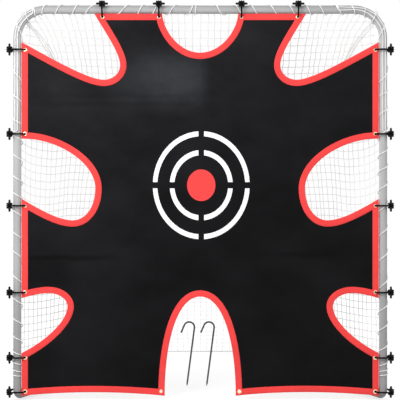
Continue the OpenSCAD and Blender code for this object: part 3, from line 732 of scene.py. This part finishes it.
def crossings(axis, at):
    """Where the upright line at x (axis 0) or the level line at z (axis 1) meets the sheet's outline."""
    hits = []
    for a, b in zip(outline, np.roll(outline, -1, 0)):
        if (a[axis] > at) != (b[axis] > at):
            hits.append(a[1 - axis] + (b[1 - axis] - a[1 - axis]) * (at - a[axis]) / (b[axis] - a[axis]))
    return sorted(hits)


def side_run(k, sign):
    """Border tape k, from the ground up, on the side edge, between two pockets."""
    def line_at(u):
        x = sheet_half - max(u, 1e-4)
        return [(sign * x, z) for z in np.linspace(*crossings(0, x)[2 * k:2 * k + 2], 40)]
    return line_at


def top_run(k):
    def line_at(u):
        z = sheet_top - max(u, 1e-4)
        places = [p for p in crossings(1, z) if abs(p) < corner_x]
        return [(x, z) for x in np.linspace(*places[2 * k:2 * k + 2], 24)]
    return line_at


def hem_run(sign):
    def line_at(u):
        half = arch[:len(arch) // 2]
        x = np.linspace(np.interp(hem_z + u, half[:, 1], -half[:, 0]), sheet_half, 60)
        return np.stack([sign * x, hem_height(x, u)], 1)
    return line_at


def tape(shape, line_at, n, lift_over=0.0):
    """Folded tape along an edge. line_at(u) is the edge moved by u into the cloth."""
    profile = tape_profile()
    lines = {u: resampled(line_at(u), n) for u, v in profile}
    loops = []
    for u, v in profile:
        extra = lift_over * smooth((tape_w + 0.004 - sheet_depth(lines[u])) / 0.006)
        loops.append(hung(lines[u], 0.0) + np.stack([0 * extra, np.sign(v) * (abs(v) + extra), 0 * extra], 1))
    along = travelled(resampled(line_at(0.0), n))
    shape.skin(np.array(loops).transpose(1, 0, 2), along, travelled(np.array(profile + profile[:1])))


def punched(piece, radius=0.0056):
    """The piece with the grommets' round holes cut through it."""
    cutter = Shape()
    for x, z in spots:
        rows = [[placed((x + radius * math.cos(a), sheet_y + y, z + radius * math.sin(a)))
                 for a in circle_angles(32)] for y in (-0.02, 0.02)]
        cutter.skin(rows, 0.04, 0.035)
    tool = cutter.build("hole_cutter", "binding", 40)
    hole = piece.modifiers.new("holes", "BOOLEAN")
    hole.object, hole.solver, hole.use_self = tool, "EXACT", True
    bpy.context.view_layer.update()
    settled(piece)
    bpy.data.objects.remove(tool)
    return piece


border_runs = []
for sign in (-1, 1):
    border_runs += [(side_run(k, sign), 60) for k in range(3)] + [(hem_run(sign), 90)]
border_runs += [(top_run(k), 40) for k in range(2)]
pocket_runs = [pocket_run(c) for c in pockets.values()]

shape = Shape()
for line_at, n in border_runs:
    tape(shape, line_at, n)
border_tape = punched(shape.build("border_binding_tape", "binding", 50))
finished(border_tape, ["border_binding"])

shape = Shape()
for line_at in pocket_runs:
    tape(shape, line_at, 110, lift_over=tape_t + 0.0002)
pocket_tape = punched(shape.build("pocket_binding_tape", "binding", 50))
finished(pocket_tape, ["pocket_bindings"])


# ---- Geometry Nodes helpers
def node_tree(name, **inputs):
    """A Geometry Nodes tree with one geometry in and out, and typed inputs beside it."""
    tree = bpy.data.node_groups.new(name, "GeometryNodeTree")
    for label, kind in {"Geometry": "Geometry", **inputs}.items():
        tree.interface.new_socket(label, in_out="INPUT", socket_type="NodeSocket" + kind)
    tree.interface.new_socket("Geometry", in_out="OUTPUT", socket_type="NodeSocketGeometry")
    return Nodes(tree, "GeometryNode"), tree.nodes.new("NodeGroupInput").outputs, tree.nodes.new("NodeGroupOutput")


def applied(piece, tree, **values):
    """Runs a tree on a piece and keeps the result as the piece's plain mesh."""
    modifier = piece.modifiers.new(tree.name, "NODES")
    modifier.node_group = tree
    for item in tree.interface.items_tree:
        if item.in_out == "INPUT" and item.name in values:
            modifier[item.identifier] = values[item.name]
    return settled(piece)


def wires(name, lines, swell=None):
    """A mesh of edges, one chain for each line of points; swell scales the cord's radius at each point."""
    points, edges = [], []
    for line in lines:
        base = len(points)
        points += [tuple(p) for p in line]
        edges += [(base + i, base + i + 1) for i in range(len(line) - 1)]
    mesh = bpy.data.meshes.new(name)
    mesh.from_pydata(points, edges, [])
    if swell:
        mesh.attributes.new("swell", "FLOAT", "POINT").data.foreach_set("value", [swell(p) for p in points])
    return shown(name, mesh)


def ended(g, outputs, steps, end, material):
    """Passes a geometry through a row of plain steps and paints it."""
    for step in steps:
        outputs = g.add(step, Geometry=outputs[0]).outputs
    paint = g.add("SetMaterial", Geometry=outputs[0], Material=material)
    g.fill(end, Geometry=paint.outputs[0])
    return g.tree


def cord_tree():
    """Round cords along lines, with the radius scaled by the lines' own swell."""
    g, start, end = node_tree("cords along lines", Radius="Float", Sides="Int", Material="Material")
    line = g.add("MeshToCurve", Mesh=start["Geometry"])
    circle = g.add("CurvePrimitiveCircle", Radius=start["Radius"], Resolution=start["Sides"])
    swell = g.add("InputNamedAttribute", Name="swell")
    swell.data_type = "FLOAT"
    sweep = g.add("CurveToMesh", Curve=line.outputs[0], Profile_Curve=circle.outputs[0],
                  Scale=swell.outputs["Attribute"], Fill_Caps=True)
    return ended(g, sweep.outputs, ("SetShadeSmooth", "RealizeInstances"), end,
                 start["Material"])


def bead_tree():
    """Small stretched beads along lines: stitches, with their long side along the line."""
    g, start, end = node_tree("beads along lines", Pitch="Float", Radius="Float", Stretch="Float",
                              Material="Material")
    line = g.add("MeshToCurve", Mesh=start["Geometry"])
    spaced = g.add("ResampleCurve")
    spaced.mode = "LENGTH"
    g.fill(spaced, Curve=line.outputs[0], Length=start["Pitch"])
    ball = g.add("MeshUVSphere", Segments=5, Rings=3, Radius=start["Radius"])
    aim = g.add("FunctionNodeAlignRotationToVector", Vector=g.add("InputTangent").outputs[0])
    aim.axis = "Z"
    size = g.add("ShaderNodeCombineXYZ", 1.0, 1.0, start["Stretch"])
    beads = g.add("InstanceOnPoints", Points=spaced.outputs[0], Instance=ball.outputs["Mesh"],
                  Rotation=aim.outputs[0], Scale=size.outputs[0])
    return ended(g, beads.outputs, ("RealizeInstances", "SetShadeSmooth"), end,
                 start["Material"])


cords_along = cord_tree()
beads_along = bead_tree()


# ---- stitching
def stitches(name, runs, behind):
    """A row of stitches on each face of the tape, along every run of (line_at, points)."""
    rows = []
    for line_at, n in runs:
        flat = resampled(line_at(tape_w - 0.0035), n)
        rows += [hung(flat, -behind), hung(flat, behind)]
    piece = applied(wires(name, rows), beads_along, Pitch=0.0055, Radius=0.00045, Stretch=4.6,
                    Material=finishes["stitch"])
    return finished(piece)


border_stitches = stitches("border_stitches", border_runs, tape_out + 0.0002)
pocket_stitches = stitches("pocket_stitches", [(line_at, 160) for line_at in pocket_runs], tape_out + 0.0003)


# ---- grommets
def grommet_profile():
    """Rolled brass: a barrel with a domed, curled flange at each end."""
    half, lip = 0.0014, 0.00045
    flange = [(0.0096 + 0.0004 * math.cos(a), half + lip + lip * math.sin(a))
              for a in np.radians(np.linspace(-90, 90, 7))]
    dome = [(0.0082, half + 0.00125), (0.0068, half + 0.00135), (0.0056, half + 0.0010), (0.0050, half + 0.0003)]
    front = [(0.0059, half - 0.0002), (0.0060, half)] + flange + dome
    return front + [(r, -h) for r, h in front[::-1]]


for name, places, node in (("elastic_grommets", held_spots, "grommets"),
                           ("free_grommets", arch_spots, "arch_grommets")):
    shape = Shape()
    for x, z in places:
        shape.lathe(grommet_profile(), placed((x, sheet_y, z)), (0, -1, 0), (1, 0, 0), 40)
    finished(shape.build(name, "grommet", 60), [node])


# ---- toggles and elastic loops
def normal_angle(a, b):
    v = (b[0] - a[0], b[1] - a[1])
    return math.degrees(math.atan2(v[1], v[0]) - math.acos((a[2] - b[2]) / math.hypot(*v)))


def belt(circles, step=9.0):
    """Points round a belt over circles (x, y, radius), listed anticlockwise."""
    out = []
    for i, a in enumerate(circles):
        b = circles[(i + 1) % len(circles)]
        before, after = normal_angle(circles[i - 1], a), normal_angle(a, b)
        turn = (after - before + 720) % 360
        count = max(2, int(turn / step))
        for t in np.radians(before + turn * np.arange(count + 1) / count):
            out.append((a[0] + a[2] * math.cos(t), a[1] + a[2] * math.sin(t)))
        p = np.array(out[-1])
        q = np.array((b[0] + b[2] * math.cos(t), b[1] + b[2] * math.sin(t)))
        out += [tuple(p + (q - p) * f) for f in (0.2, 0.4, 0.6, 0.8)]
    return out


def toggle_frame(kind, i):
    """Maps (outward, back, along the tube) of a toggle's own frame to the row frame."""
    side = -1 if kind == "left" else 1

    def beside(points):
        p = np.array(points, float)
        if i == 5:
            y, z = p[:, 1] - sheet_y, p[:, 2].copy()
            p[:, 1] = sheet_y + y * math.cos(bottom_tilt) - z * math.sin(bottom_tilt)
            p[:, 2] = y * math.sin(bottom_tilt) + z * math.cos(bottom_tilt)
        return placed(np.stack([side * (upright_x + p[:, 0]), p[:, 1], side_heights[i] + p[:, 2]], 1))

    def above(points):
        p = np.array(points, float)
        return placed(np.stack([top_places[i] - p[:, 2], p[:, 1], rail_z + p[:, 0]], 1))
    return above if kind == "top" else beside


def toggle_profile():
    """(radius, height) round a toggle's upper half and down its lower half."""
    arm, waist, bead, low, high, end = 0.0052, 0.0075, 0.015, 0.0043, 0.0139, 0.029
    mid, half = (low + high) / 2, (high - low) / 2
    top = [(0.00001, end)]
    top += [(arm * math.sin(a), end - arm + arm * math.cos(a)) for a in np.linspace(0.2, math.pi / 2, 6)]
    top += [(arm, 0.018), (arm + 0.0003, 0.0155), (arm + 0.0016, high + 0.0002), (0.0095, high)]
    top += [(bead - half + half * math.cos(a), mid + half * math.sin(a))
            for a in np.linspace(math.pi / 2, -math.pi / 2, 13)]
    top += [(waist + 0.0012, low), (waist + 0.0003, low - 0.0004), (waist, low - 0.0012), (waist, 0.0012)]
    return top + [(r, -h) for r, h in top[::-1]]


def ridge(angle, r, h):
    """Shallow grooves that climb round the beads' rims."""
    depth = float(smooth((r - 0.0112) / 0.002))
    return -0.00045 * depth * (0.5 + 0.5 * math.cos(18 * angle + 260 * h))


def toggle_piece(to_row, u, y, node):
    origin, ax, out = to_row([(u, y, 0), (u, y, 1), (u + 1, y, 0)])
    shape = Shape()
    shape.lathe(toggle_profile(), origin, ax - origin, out - origin, 72, ridge)
    finished(shape.build(node + "_moulding", "toggle", 55, 0.00002), [node], node)


def elastic_piece(to_row, u, y, direction, node, hook_r=0.016):
    """A loop from the grommet, round the tube and its lacing, to the toggle's waist."""
    circles = [(hook_r - 0.03525 - cord_r, sheet_y, hook_r), (u, y, waist_loop_r),
               (lace_off * direction[0], lace_off * direction[1], lace_outer + 0.0004 + cord_r)]
    shape = Shape()
    shape.tube(to_row([(a, b, 0) for a, b in belt(circles)]), cord_r, 14, closed=True)
    piece = shape.build("elastic_loop_" + node[7:], "elastic", 80)
    start, end = to_row([(u - waist_loop_r - 0.022, y, 0), (u - waist_loop_r - 0.001, y, 0)])
    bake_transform(piece)
    return piece


for kind, count, place, direction in (("left", 6, side_toggle, side_dir), ("right", 6, side_toggle, side_dir),
                                      ("top", 4, top_toggle, top_dir)):
    for i in range(count):
        node = "toggle_%s_%d" % (kind, i + 1)
        toggle_piece(toggle_frame(kind, i), *place, node)
        elastic_piece(toggle_frame(kind, i), *place, direction, node)
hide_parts("bungee_cords")


# ---- leaf springs inside the tube joints
leaf_w, leaf_t = 0.007, 0.0008


def bent(corners, cut, steps=6):
    """A line through corners, each inner one rounded over a length of cut on both sides."""
    corners = [np.array(c, float) for c in corners]
    line = [corners[0]]
    for before, corner, after, length in zip(corners, corners[1:], corners[2:], cut):
        a = corner + (before - corner) / np.linalg.norm(before - corner) * length
        b = corner + (after - corner) / np.linalg.norm(after - corner) * length
        line += [(1 - t) ** 2 * a + 2 * t * (1 - t) * corner + t * t * b for t in np.linspace(0, 1, steps)]
    return np.array(line + [corners[-1]])


def leaf_spring(joint, side, origin, along, outward):
    """A strip folded into a V: one leg under the button, the other on the far wall, so it closes when pressed."""
    origin, across = placed(origin), np.cross(outward, along)
    top, foot = 0.01342 - leaf_t / 2, -0.01541 + leaf_t / 2
    line = bent([(0.0057, top), (-0.0065, top), (-0.0325, 0.0), (-0.0075, foot + 0.0035), (0.0055, foot)],
                (0.002, 0.003, 0.004))
    w, t, c = leaf_w / 2, leaf_t / 2, leaf_t / 4
    section = [(w - c, t), (w, t - c), (w, c - t), (w - c, -t), (c - w, -t), (-w, c - t), (-w, t - c), (c - w, t)]
    loops = [[origin + along * (x - dz * v) + outward * (z + dx * v) + across * u for u, v in section]
             for (x, z), (dx, dz) in zip(line, unit_rows(np.gradient(line, axis=0)))]
    shape = Shape()
    shape.skin(loops, 0.07, 0.016)
    piece = shape.build("leaf_spring_%s_%s" % (joint, side), "spring_steel", 30)
    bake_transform(piece)
    return piece


springs = []
for s, side in both_sides:
    flip = np.array([s, 1, 1])
    springs += [leaf_spring(joint, side, flip * origin, flip * along, flip * outward)
                for joint, origin, along, outward in (
                    ("rail", (0.590, 0, rail_z), (1, 0, 0), (0, 1, 0)),
                    ("upright", (upright_x, 0, 1.570), (0, 0, 1), (0, 1, 0)),
                    ("foot", (upright_x, 0, 0.149), (0, 0, -1), (0, 1, 0)),
                    ("base", np.array([upright_x, 0, tube_r]) + 0.130 * side_ahead, side_ahead, side_out))]
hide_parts("button_springs")


# ---- net
mesh_size = 0.0365
back_mesh = (0.035, 0.0375)


def frame_centreline():
    """Points along the tubes' centre line: half of the frame, from the top middle to a bar's end."""
    line = [(x, 0, rail_z) for x in np.linspace(0, rail_run, 60)]
    for a in np.radians(np.linspace(90, 0, 24)):
        line.append((rail_run + corner_r * math.cos(a), 0, rail_z - corner_r + corner_r * math.sin(a)))
    line += [(upright_x, 0, z) for z in np.linspace(rail_z - corner_r, tube_r + foot_r, 140)]
    for a in np.radians(np.linspace(0, 90, 10)):
        t = foot_r * (1 - math.cos(a))
        line.append((upright_x + t * side_dir[0], t * side_dir[1], tube_r + foot_r * (1 - math.sin(a))))
    line += [(upright_x + t * side_dir[0], t * side_dir[1], tube_r)
             for t in np.linspace(foot_r, side_length, 120)]
    return np.array(line)


centreline = frame_centreline()


def tube_gap(points):
    """Distance of points to the nearest tube's centre line."""
    p = np.stack([np.abs(points[:, 0]), points[:, 1], points[:, 2]], 1)
    best = np.full(len(p), 9.0)
    for a, d in zip(centreline, np.diff(centreline, axis=0)):
        t = np.clip(((p - a) @ d) / (d @ d + 1e-12), 0, 1)
        best = np.minimum(best, np.linalg.norm(p - a - t[:, None] * d, axis=1))
    return best


def back_point(x, s):
    """Point of the back net's plane: x across, s up the slope from the hem."""
    x, s = np.broadcast_arrays(x, s)
    return np.stack([x, hem_y - s * math.cos(slope), tube_r + s * math.sin(slope)], -1)


def back_half(s):
    return upright_x - (hem_y - s * math.cos(slope)) * math.tan(base_turn)


def side_point(t, z):
    t, z = np.broadcast_arrays(t, z)
    return np.stack([upright_x + t * side_dir[0], t * side_dir[1], z], -1)


def side_top(t):
    return rail_z - (rail_z - tube_r) * t / side_length


net_gap = tube_r + 0.0028


def back_sag(x, s):
    """The back net's own sag, square to its plane, at a place on it."""
    u = np.clip(np.abs(x) / np.maximum(back_half(s), 0.05), 0, 1)
    v = np.clip(s / (back_length - tube_r), 0, 1)
    main = 0.060 * (1 - u ** 2) * 4 * v * (1 - v) * (1.15 - 0.3 * v)
    ripple = 0.006 * np.sin(9.0 * x + 2.0 * s) * (1 - u ** 4) * np.minimum(1, 6 * v * (1 - v))
    return main + ripple


def side_sag(t, z):
    top = np.maximum(side_top(t), 0.05)
    u = np.clip(t / side_length, 0, 1)
    v = np.clip(z / top, 0, 1)
    ripple = 0.004 * np.sin(8 * t + 5 * z) * v * (1 - v)
    return 0.028 * 4 * v * (1 - v) * np.minimum(1, 5 * u * (1 - u)) + ripple


def slack(p, from_seam):
    """The net hangs slack: away from the tubes it drops, and by the seams it is drawn in."""
    away = np.maximum(tube_gap(p) - net_gap, 0)
    free = smooth((p[:, 2] - 0.15) / 0.9)
    low = 0.25 + 0.75 * smooth((rail_z - p[:, 2]) / 0.9)
    drop = 0.052 * (1 - np.exp(-away / 0.06)) * free * low * (1 - 0.35 * smooth((away - 0.19) / 0.2))
    draw = 0.100 * (1 - np.exp(-away / 0.08)) * np.exp(-np.maximum(from_seam, 0) / 0.2) * free
    return p - np.stack([np.sign(p[:, 0]) * draw, 0 * draw, drop], 1)


back_normal = np.array([0, -math.sin(slope), -math.cos(slope)])


def free_of_tubes(points):
    return tube_gap(points) > net_gap - 1e-4


def back_net_lines():
    """Cords up the slope of the back net, then the cords across it."""
    lines = []
    wide, high = back_mesh
    s_max = back_length - net_gap
    n = int(upright_x / wide) + 1
    for k in range(-n, n + 1):
        x = k * wide
        s = np.append(np.arange(0.004, s_max + 1e-9, high / 2), s_max)
        s = s[(np.abs(x) < back_half(s) - 0.002) & free_of_tubes(back_point(x, s))]
        if len(s) > 2:
            wander = x + 0.0016 * np.sin(83 * s + k) + 0.005 * np.sin(3.1 * s + 1.3 * k)
            p = back_point(wander, s) + back_sag(x, s)[:, None] * back_normal
            lines.append(slack(p, back_half(s) - abs(x)))
    for j in range(1, int(s_max / high) + 1):
        s = s_max - j * high
        half = back_half(s) - 0.002
        x = np.append(np.arange(0, half, wide / 2), half)
        x = np.concatenate([-x[:0:-1], x])
        x = x[free_of_tubes(back_point(x, s))]
        if len(x) > 2:
            dip = 0.004 * np.abs(np.sin(math.pi * x / wide))
            p = back_point(x, s - dip) + back_sag(x, s)[:, None] * back_normal
            lines.append(slack(p, half - np.abs(x)))
    return lines


def side_net_lines():
    """Upright cords of a side net, then its level ones, on the right."""
    def hung_slack(t, z, p):
        return slack(p - side_sag(t, z)[:, None] * side_out, 0.65 * (side_top(t) - z))

    lines = []
    for t in tube_r + mesh_size * np.arange(1, int(side_length / mesh_size)):
        if t > side_length - 0.02:
            break
        k = round((t - tube_r) / mesh_size)
        z = np.append(np.arange(2 * tube_r, side_top(t), mesh_size / 2), side_top(t) - 0.002)
        z = z[free_of_tubes(side_point(t, z)) & (z < side_top(t))]
        if len(z) > 2:
            wander = 0.0016 * np.sin(80 * z + k) + 0.006 * np.sin(4.3 * z + 1.9 * k) * min(1, 3 * (t - tube_r))
            lines.append(hung_slack(t, z, side_point(t + wander, z)))
    z = 2 * tube_r + 0.6 * mesh_size
    while z < rail_z - 0.05:
        t_max = side_length * (rail_z - z) / (rail_z - tube_r) - 0.002
        t = np.append(np.arange(net_gap, t_max, mesh_size / 2), t_max)
        p = side_point(t, z - 0.0035 * np.abs(np.sin(math.pi * (t - tube_r) / mesh_size)))
        free = free_of_tubes(p)
        if free.sum() > 2:
            lines.append(hung_slack(t, z, p)[free])
        z += mesh_size
    return lines


def seam_line(sign):
    s = np.linspace(0.01, back_length, 90)
    p = back_point(back_half(s), s)
    p = p[tube_gap(p) > net_gap + 0.002]
    return slack(p, np.zeros(len(p))) * np.array([sign, 1, 1])


def frayed(p):
    """Twine is finest where the net hangs tight: half-way up the sides and low at the back."""
    near = np.interp(p[2], (0.4, 0.8, 1.0, 1.3, 1.6), (0.95, 0.85, 0.68, 0.68, 1.0))
    far = np.interp(p[2], (0.9, 1.6), (0.55, 1.0))
    deep = np.interp(p[1] - mouth_y, (0.55, 0.85), (0.0, 1.0))
    return float(near + (far - near) * deep)


def net_piece(name, lines, node):
    piece = applied(wires(name, [placed(p) for p in lines], frayed), cords_along, Radius=twine_r, Sides=5,
                    Material=finishes["net"])
    finished(piece, [node])


net_piece("back_net_cords", back_net_lines(), "net_back")
for sign, side in both_sides:
    net_piece("side_net_cords_" + side, [p * (sign, 1, 1) for p in side_net_lines()], "net_" + side)


def edge_lines():
    """Edge cords of the panels, and the gathered seams."""
    lines = [back_point(np.linspace(-rail_run, rail_run, 60), back_length - net_gap)]
    for sign in (-1, 1):
        flip = np.array([sign, 1, 1])
        lines.append(side_point(net_gap, np.linspace(0.09, rail_z - corner_r, 60)) * flip)
        lines.append(side_point(np.linspace(0.06, side_length - 0.03, 60), tube_r + net_gap) * flip)
        bend = []
        for a in np.radians(np.linspace(90, 0, 16)):
            d = math.sin(a) * np.array([0, top_dir[1], top_dir[0]]) + (1 - math.sin(a)) * side_ahead
            bend.append((rail_run + corner_r * math.cos(a), 0, rail_z - corner_r + corner_r * math.sin(a))
                        + net_gap * d / np.linalg.norm(d))
        lines.append(np.array(bend) * flip)
        seam = seam_line(sign)
        lines.append(seam)
        gather = seam[-14:]
        spread = smooth(np.linspace(0, 1, len(gather)) * 3)[:, None]
        for k in range(4):
            wave = (0.003 * np.sin(np.arange(len(gather)) * 0.9 + 1.6 * k))[:, None]
            off = np.array([0.011 * math.cos(1.57 * k), 0.003, 0.011 * math.sin(1.57 * k)]) * flip
            lines.append(gather + off * spread + wave * np.array([1, 0, 0.6]))
    return lines


shape = Shape()
for line in edge_lines():
    shape.tube(placed(line), 0.0012, 7)
finished(shape.build("net_edge_cords", "net", 80))

# ---- hem cord, tied round both ground bars
hem_r = 0.002
ring_r = tube_r + 0.0023
reach = upright_x - hem_y * math.tan(base_turn) - ring_r / math.cos(base_turn)
shape = Shape()
shape.tube(placed([(x, hem_y, tube_r) for x in np.linspace(-reach, reach, 40)]), hem_r, 10)
for sign in (-1, 1):
    ring = [np.array([upright_x, 0, tube_r]) + side_length * side_ahead + ring_r * math.cos(a) * side_out
            + (0, 0, ring_r * math.sin(a)) for a in circle_angles(40)]
    shape.tube(placed(np.array(ring) * (sign, 1, 1)), hem_r, 10, closed=True)
finished(shape.build("net_hem_rope", "lacing", 80), ["net_hem_cord"])


# ---- lacing
bend_run = corner_r * math.pi / 2
per_turn = 28


def smooth_series(knots, steps):
    """A smooth, rising curve through the knots, in as many steps from each to the next."""
    ext = [2 * knots[0] - knots[1], *knots, 2 * knots[-1] - knots[-2]]
    t = np.arange(steps) / steps
    out = []
    for p0, p1, p2, p3 in zip(ext, ext[1:], ext[2:], ext[3:]):
        m1, m2 = (min(m, 2.4 * (p2 - p1)) for m in ((p2 - p0) / 2, (p3 - p1) / 2))
        out += list((2 * t ** 3 - 3 * t ** 2 + 1) * p1 + (t ** 3 - 2 * t ** 2 + t) * m1
                    + (-2 * t ** 3 + 3 * t ** 2) * p2 + (t ** 3 - t ** 2) * m2)
    return np.array(out + [knots[-1]])


def round_tube(run, angle, raised=0.0):
    """Points beside the frame's tube: run is the length from the rail's middle, round the bend and down
    to the foot; angle 0 is outward and -90 degrees is the front."""
    bend = np.clip((run - rail_run) / corner_r, 0, math.pi / 2)
    out = np.stack([np.sin(bend), 0 * bend, np.cos(bend)], -1)
    centre = np.stack([np.minimum(run, rail_run) + corner_r * np.sin(bend), 0 * bend,
                       rail_z - corner_r * (1 - np.cos(bend)) - np.maximum(run - rail_run - bend_run, 0)], -1)
    share = smooth(bend / (math.pi / 2))
    r = lace_turn_r + raised
    u = lace_off * ((1 - share) * top_dir[0] + share * side_dir[0]) + r * np.cos(angle)
    v = lace_off * ((1 - share) * top_dir[1] + share * side_dir[1]) + r * np.sin(angle)
    return centre + u[:, None] * out + v[:, None] * np.array([0, 1, 0])


def laced(knots):
    """A cord wound once from each front crossing to the next, with both ends behind the tube."""
    run = smooth_series(knots, per_turn)
    lead = np.arange(-per_turn // 2, 0) / per_turn
    run = np.concatenate([run[0] + 0.6 * (knots[1] - knots[0]) * lead, run,
                          run[-1] - 0.6 * (knots[-1] - knots[-2]) * lead[::-1]])
    angle = -math.pi / 2 - math.tau * (np.arange(len(run)) - per_turn // 2) / per_turn
    return round_tube(run, angle)


def laid_along(start, end, angle, met):
    """A cord laid along the tube's front, over the turns that it meets, with both ends behind."""
    run = np.linspace(start, end, 120)
    turn = angle + 0.05 * np.sin(31 * run + 5 * angle)
    over = np.zeros(len(run))
    for at in met:
        over = np.maximum(over, np.exp(-((run - at) / 0.011) ** 2))
    tail = np.linspace(0, 1, 12)
    run = np.concatenate([start - 0.03 * tail[:0:-1], run, end + 0.03 * tail[1:]])
    wrap = smooth(tail[1:]) * (math.pi / 2 - angle)
    turn = np.concatenate([turn[0] + wrap[::-1], turn, turn[-1] + wrap])
    return round_tube(run, turn, (2 * lace_r + 0.0002) * np.concatenate([0 * wrap, over, 0 * wrap]))


def down_to(height):
    return rail_run + bend_run + rail_z - corner_r - height


def round_bend(degrees):
    return rail_run + corner_r * math.radians(degrees)


left_turns = [round_bend(a) for a in (23, 42, 70)] + [down_to(z) for z in (
    1.537, 1.428, 1.317, 1.241, 1.148, 1.046, 0.968, 0.884, 0.779, 0.690, 0.572, 0.468, 0.372, 0.289,
    0.218, 0.170, 0.135, 0.112)]
right_turns = [round_bend(a) for a in (21, 43.5, 75)] + [down_to(z) for z in (
    1.521, 1.448, 1.362, 1.262, 1.169, 1.092, 1.006, 0.908, 0.793, 0.675, 0.545, 0.431, 0.340, 0.242,
    0.166, 0.136, 0.115)]
rail_turns = ((0.021, 0.041, 0.134, 0.213, 0.284, 0.364, 0.528, 0.594, 0.675, 0.746),
              (0.086, 0.182, 0.255, 0.347, 0.434, 0.512, 0.575, 0.656, 0.727))


def lacing(name, paths, node):
    shape = Shape()
    for path in paths:
        shape.tube(placed(path), lace_r, 10)
    finished(shape.build(name, "lacing", 80), [node])


for (sign, side), turns, start in zip(both_sides, (left_turns, right_turns), (round_bend(28), 0.655)):
    paths = [laced(turns)]
    for angle in (-1.18, -1.77):
        met = [a + (b - a) * (-math.pi / 2 - angle) / math.tau for a, b in zip(turns, turns[1:])]
        paths.append(laid_along(start, down_to(1.275), angle, met[:6]))
    lacing("upright_lacing_" + side, [path * (sign, 1, 1) for path in paths], "lacing_" + side)

lacing("rail_lacing", [laced(turns) * (sign, 1, 1) for turns, sign in zip(rail_turns, (-1, 1))], "lacing_top")

turns = np.arange(int(7.5 * per_turn) + 1) / per_turn
angle = (math.pi + math.tau * turns)[:, None]
along = (0.16 + 0.170 * turns)[:, None]
path = (np.array([upright_x, 0, tube_r + lace_off]) + along * side_ahead
        + lace_turn_r * (np.sin(angle) * side_out + np.cos(angle) * (0, 0, 1)))
for sign, side in both_sides:
    lacing("bar_lacing_" + side, [path * (sign, 1, 1)], "lacing_base_" + side)


# ---- floor, light and camera
def floor_finish():
    """A pale floor that also glows for the camera, so that it meets the white ground behind it."""
    f = Finish("pale floor", (0.36, 0.36, 0.36), 0.9)
    glow = f.add("Emission", Strength=f.times(f.seen_by("Camera", "Glossy"), 0.70))
    both = f.add("AddShader", f.shader.outputs[0], glow.outputs[0])
    f.fill(f.tree.nodes["Material Output"], Surface=both.outputs[0])
    return f.mat


floor_mesh = bpy.data.meshes.new("floor")
floor_mesh.from_pydata([(-40, -40, 0), (40, -40, 0), (40, 40, 0), (-40, 40, 0)], [], [(0, 1, 2, 3)])
floor_mesh.materials.append(floor_finish())
shown("floor", floor_mesh)

scene.world = world = scene.world or bpy.data.worlds.new("studio")
world.use_nodes = True
world.node_tree.nodes.clear()
sky = Nodes(world.node_tree)
seen, ambient = (sky.add("Background", (1, 1, 1, 1), strength).outputs[0] for strength in (1.0, 0.78))
mix = sky.add("MixShader", sky.seen_by("Camera", "Glossy", "Transmission"), ambient, seen)
sky.add("OutputWorld", Surface=mix.outputs[0])


def lamp(name, place, target, size, power):
    data = bpy.data.lights.new(name, "AREA")
    data.size, data.energy = size, power
    made = shown(name, data)
    made.location = place
    made.rotation_euler = (Vector(target) - Vector(place)).to_track_quat("-Z", "Y").to_euler()


lamp("key", (-2.2, -3.9, 2.7), (0, -0.5, 1.0), 2.0, 122)
lamp("fill", (3.2, -4.0, 3.2), (0, -0.5, 0.9), 2.6, 42)
lamp("top", (0, 0.6, 5.0), (0, 0, 0.8), 4.0, 20)

sensor, distance, view_width = 36, 5.0, 400 * 0.004746
camera_data = bpy.data.cameras.new("camera")
camera_data.sensor_width = sensor
camera_data.lens = sensor * distance / view_width
scene.camera = shown("camera", camera_data)
scene.camera.location = (-0.00095, mouth_y - distance, 0.944 + lift)
scene.camera.rotation_euler = (math.pi / 2, 0, 0)
scene.view_settings.view_transform = "Standard"
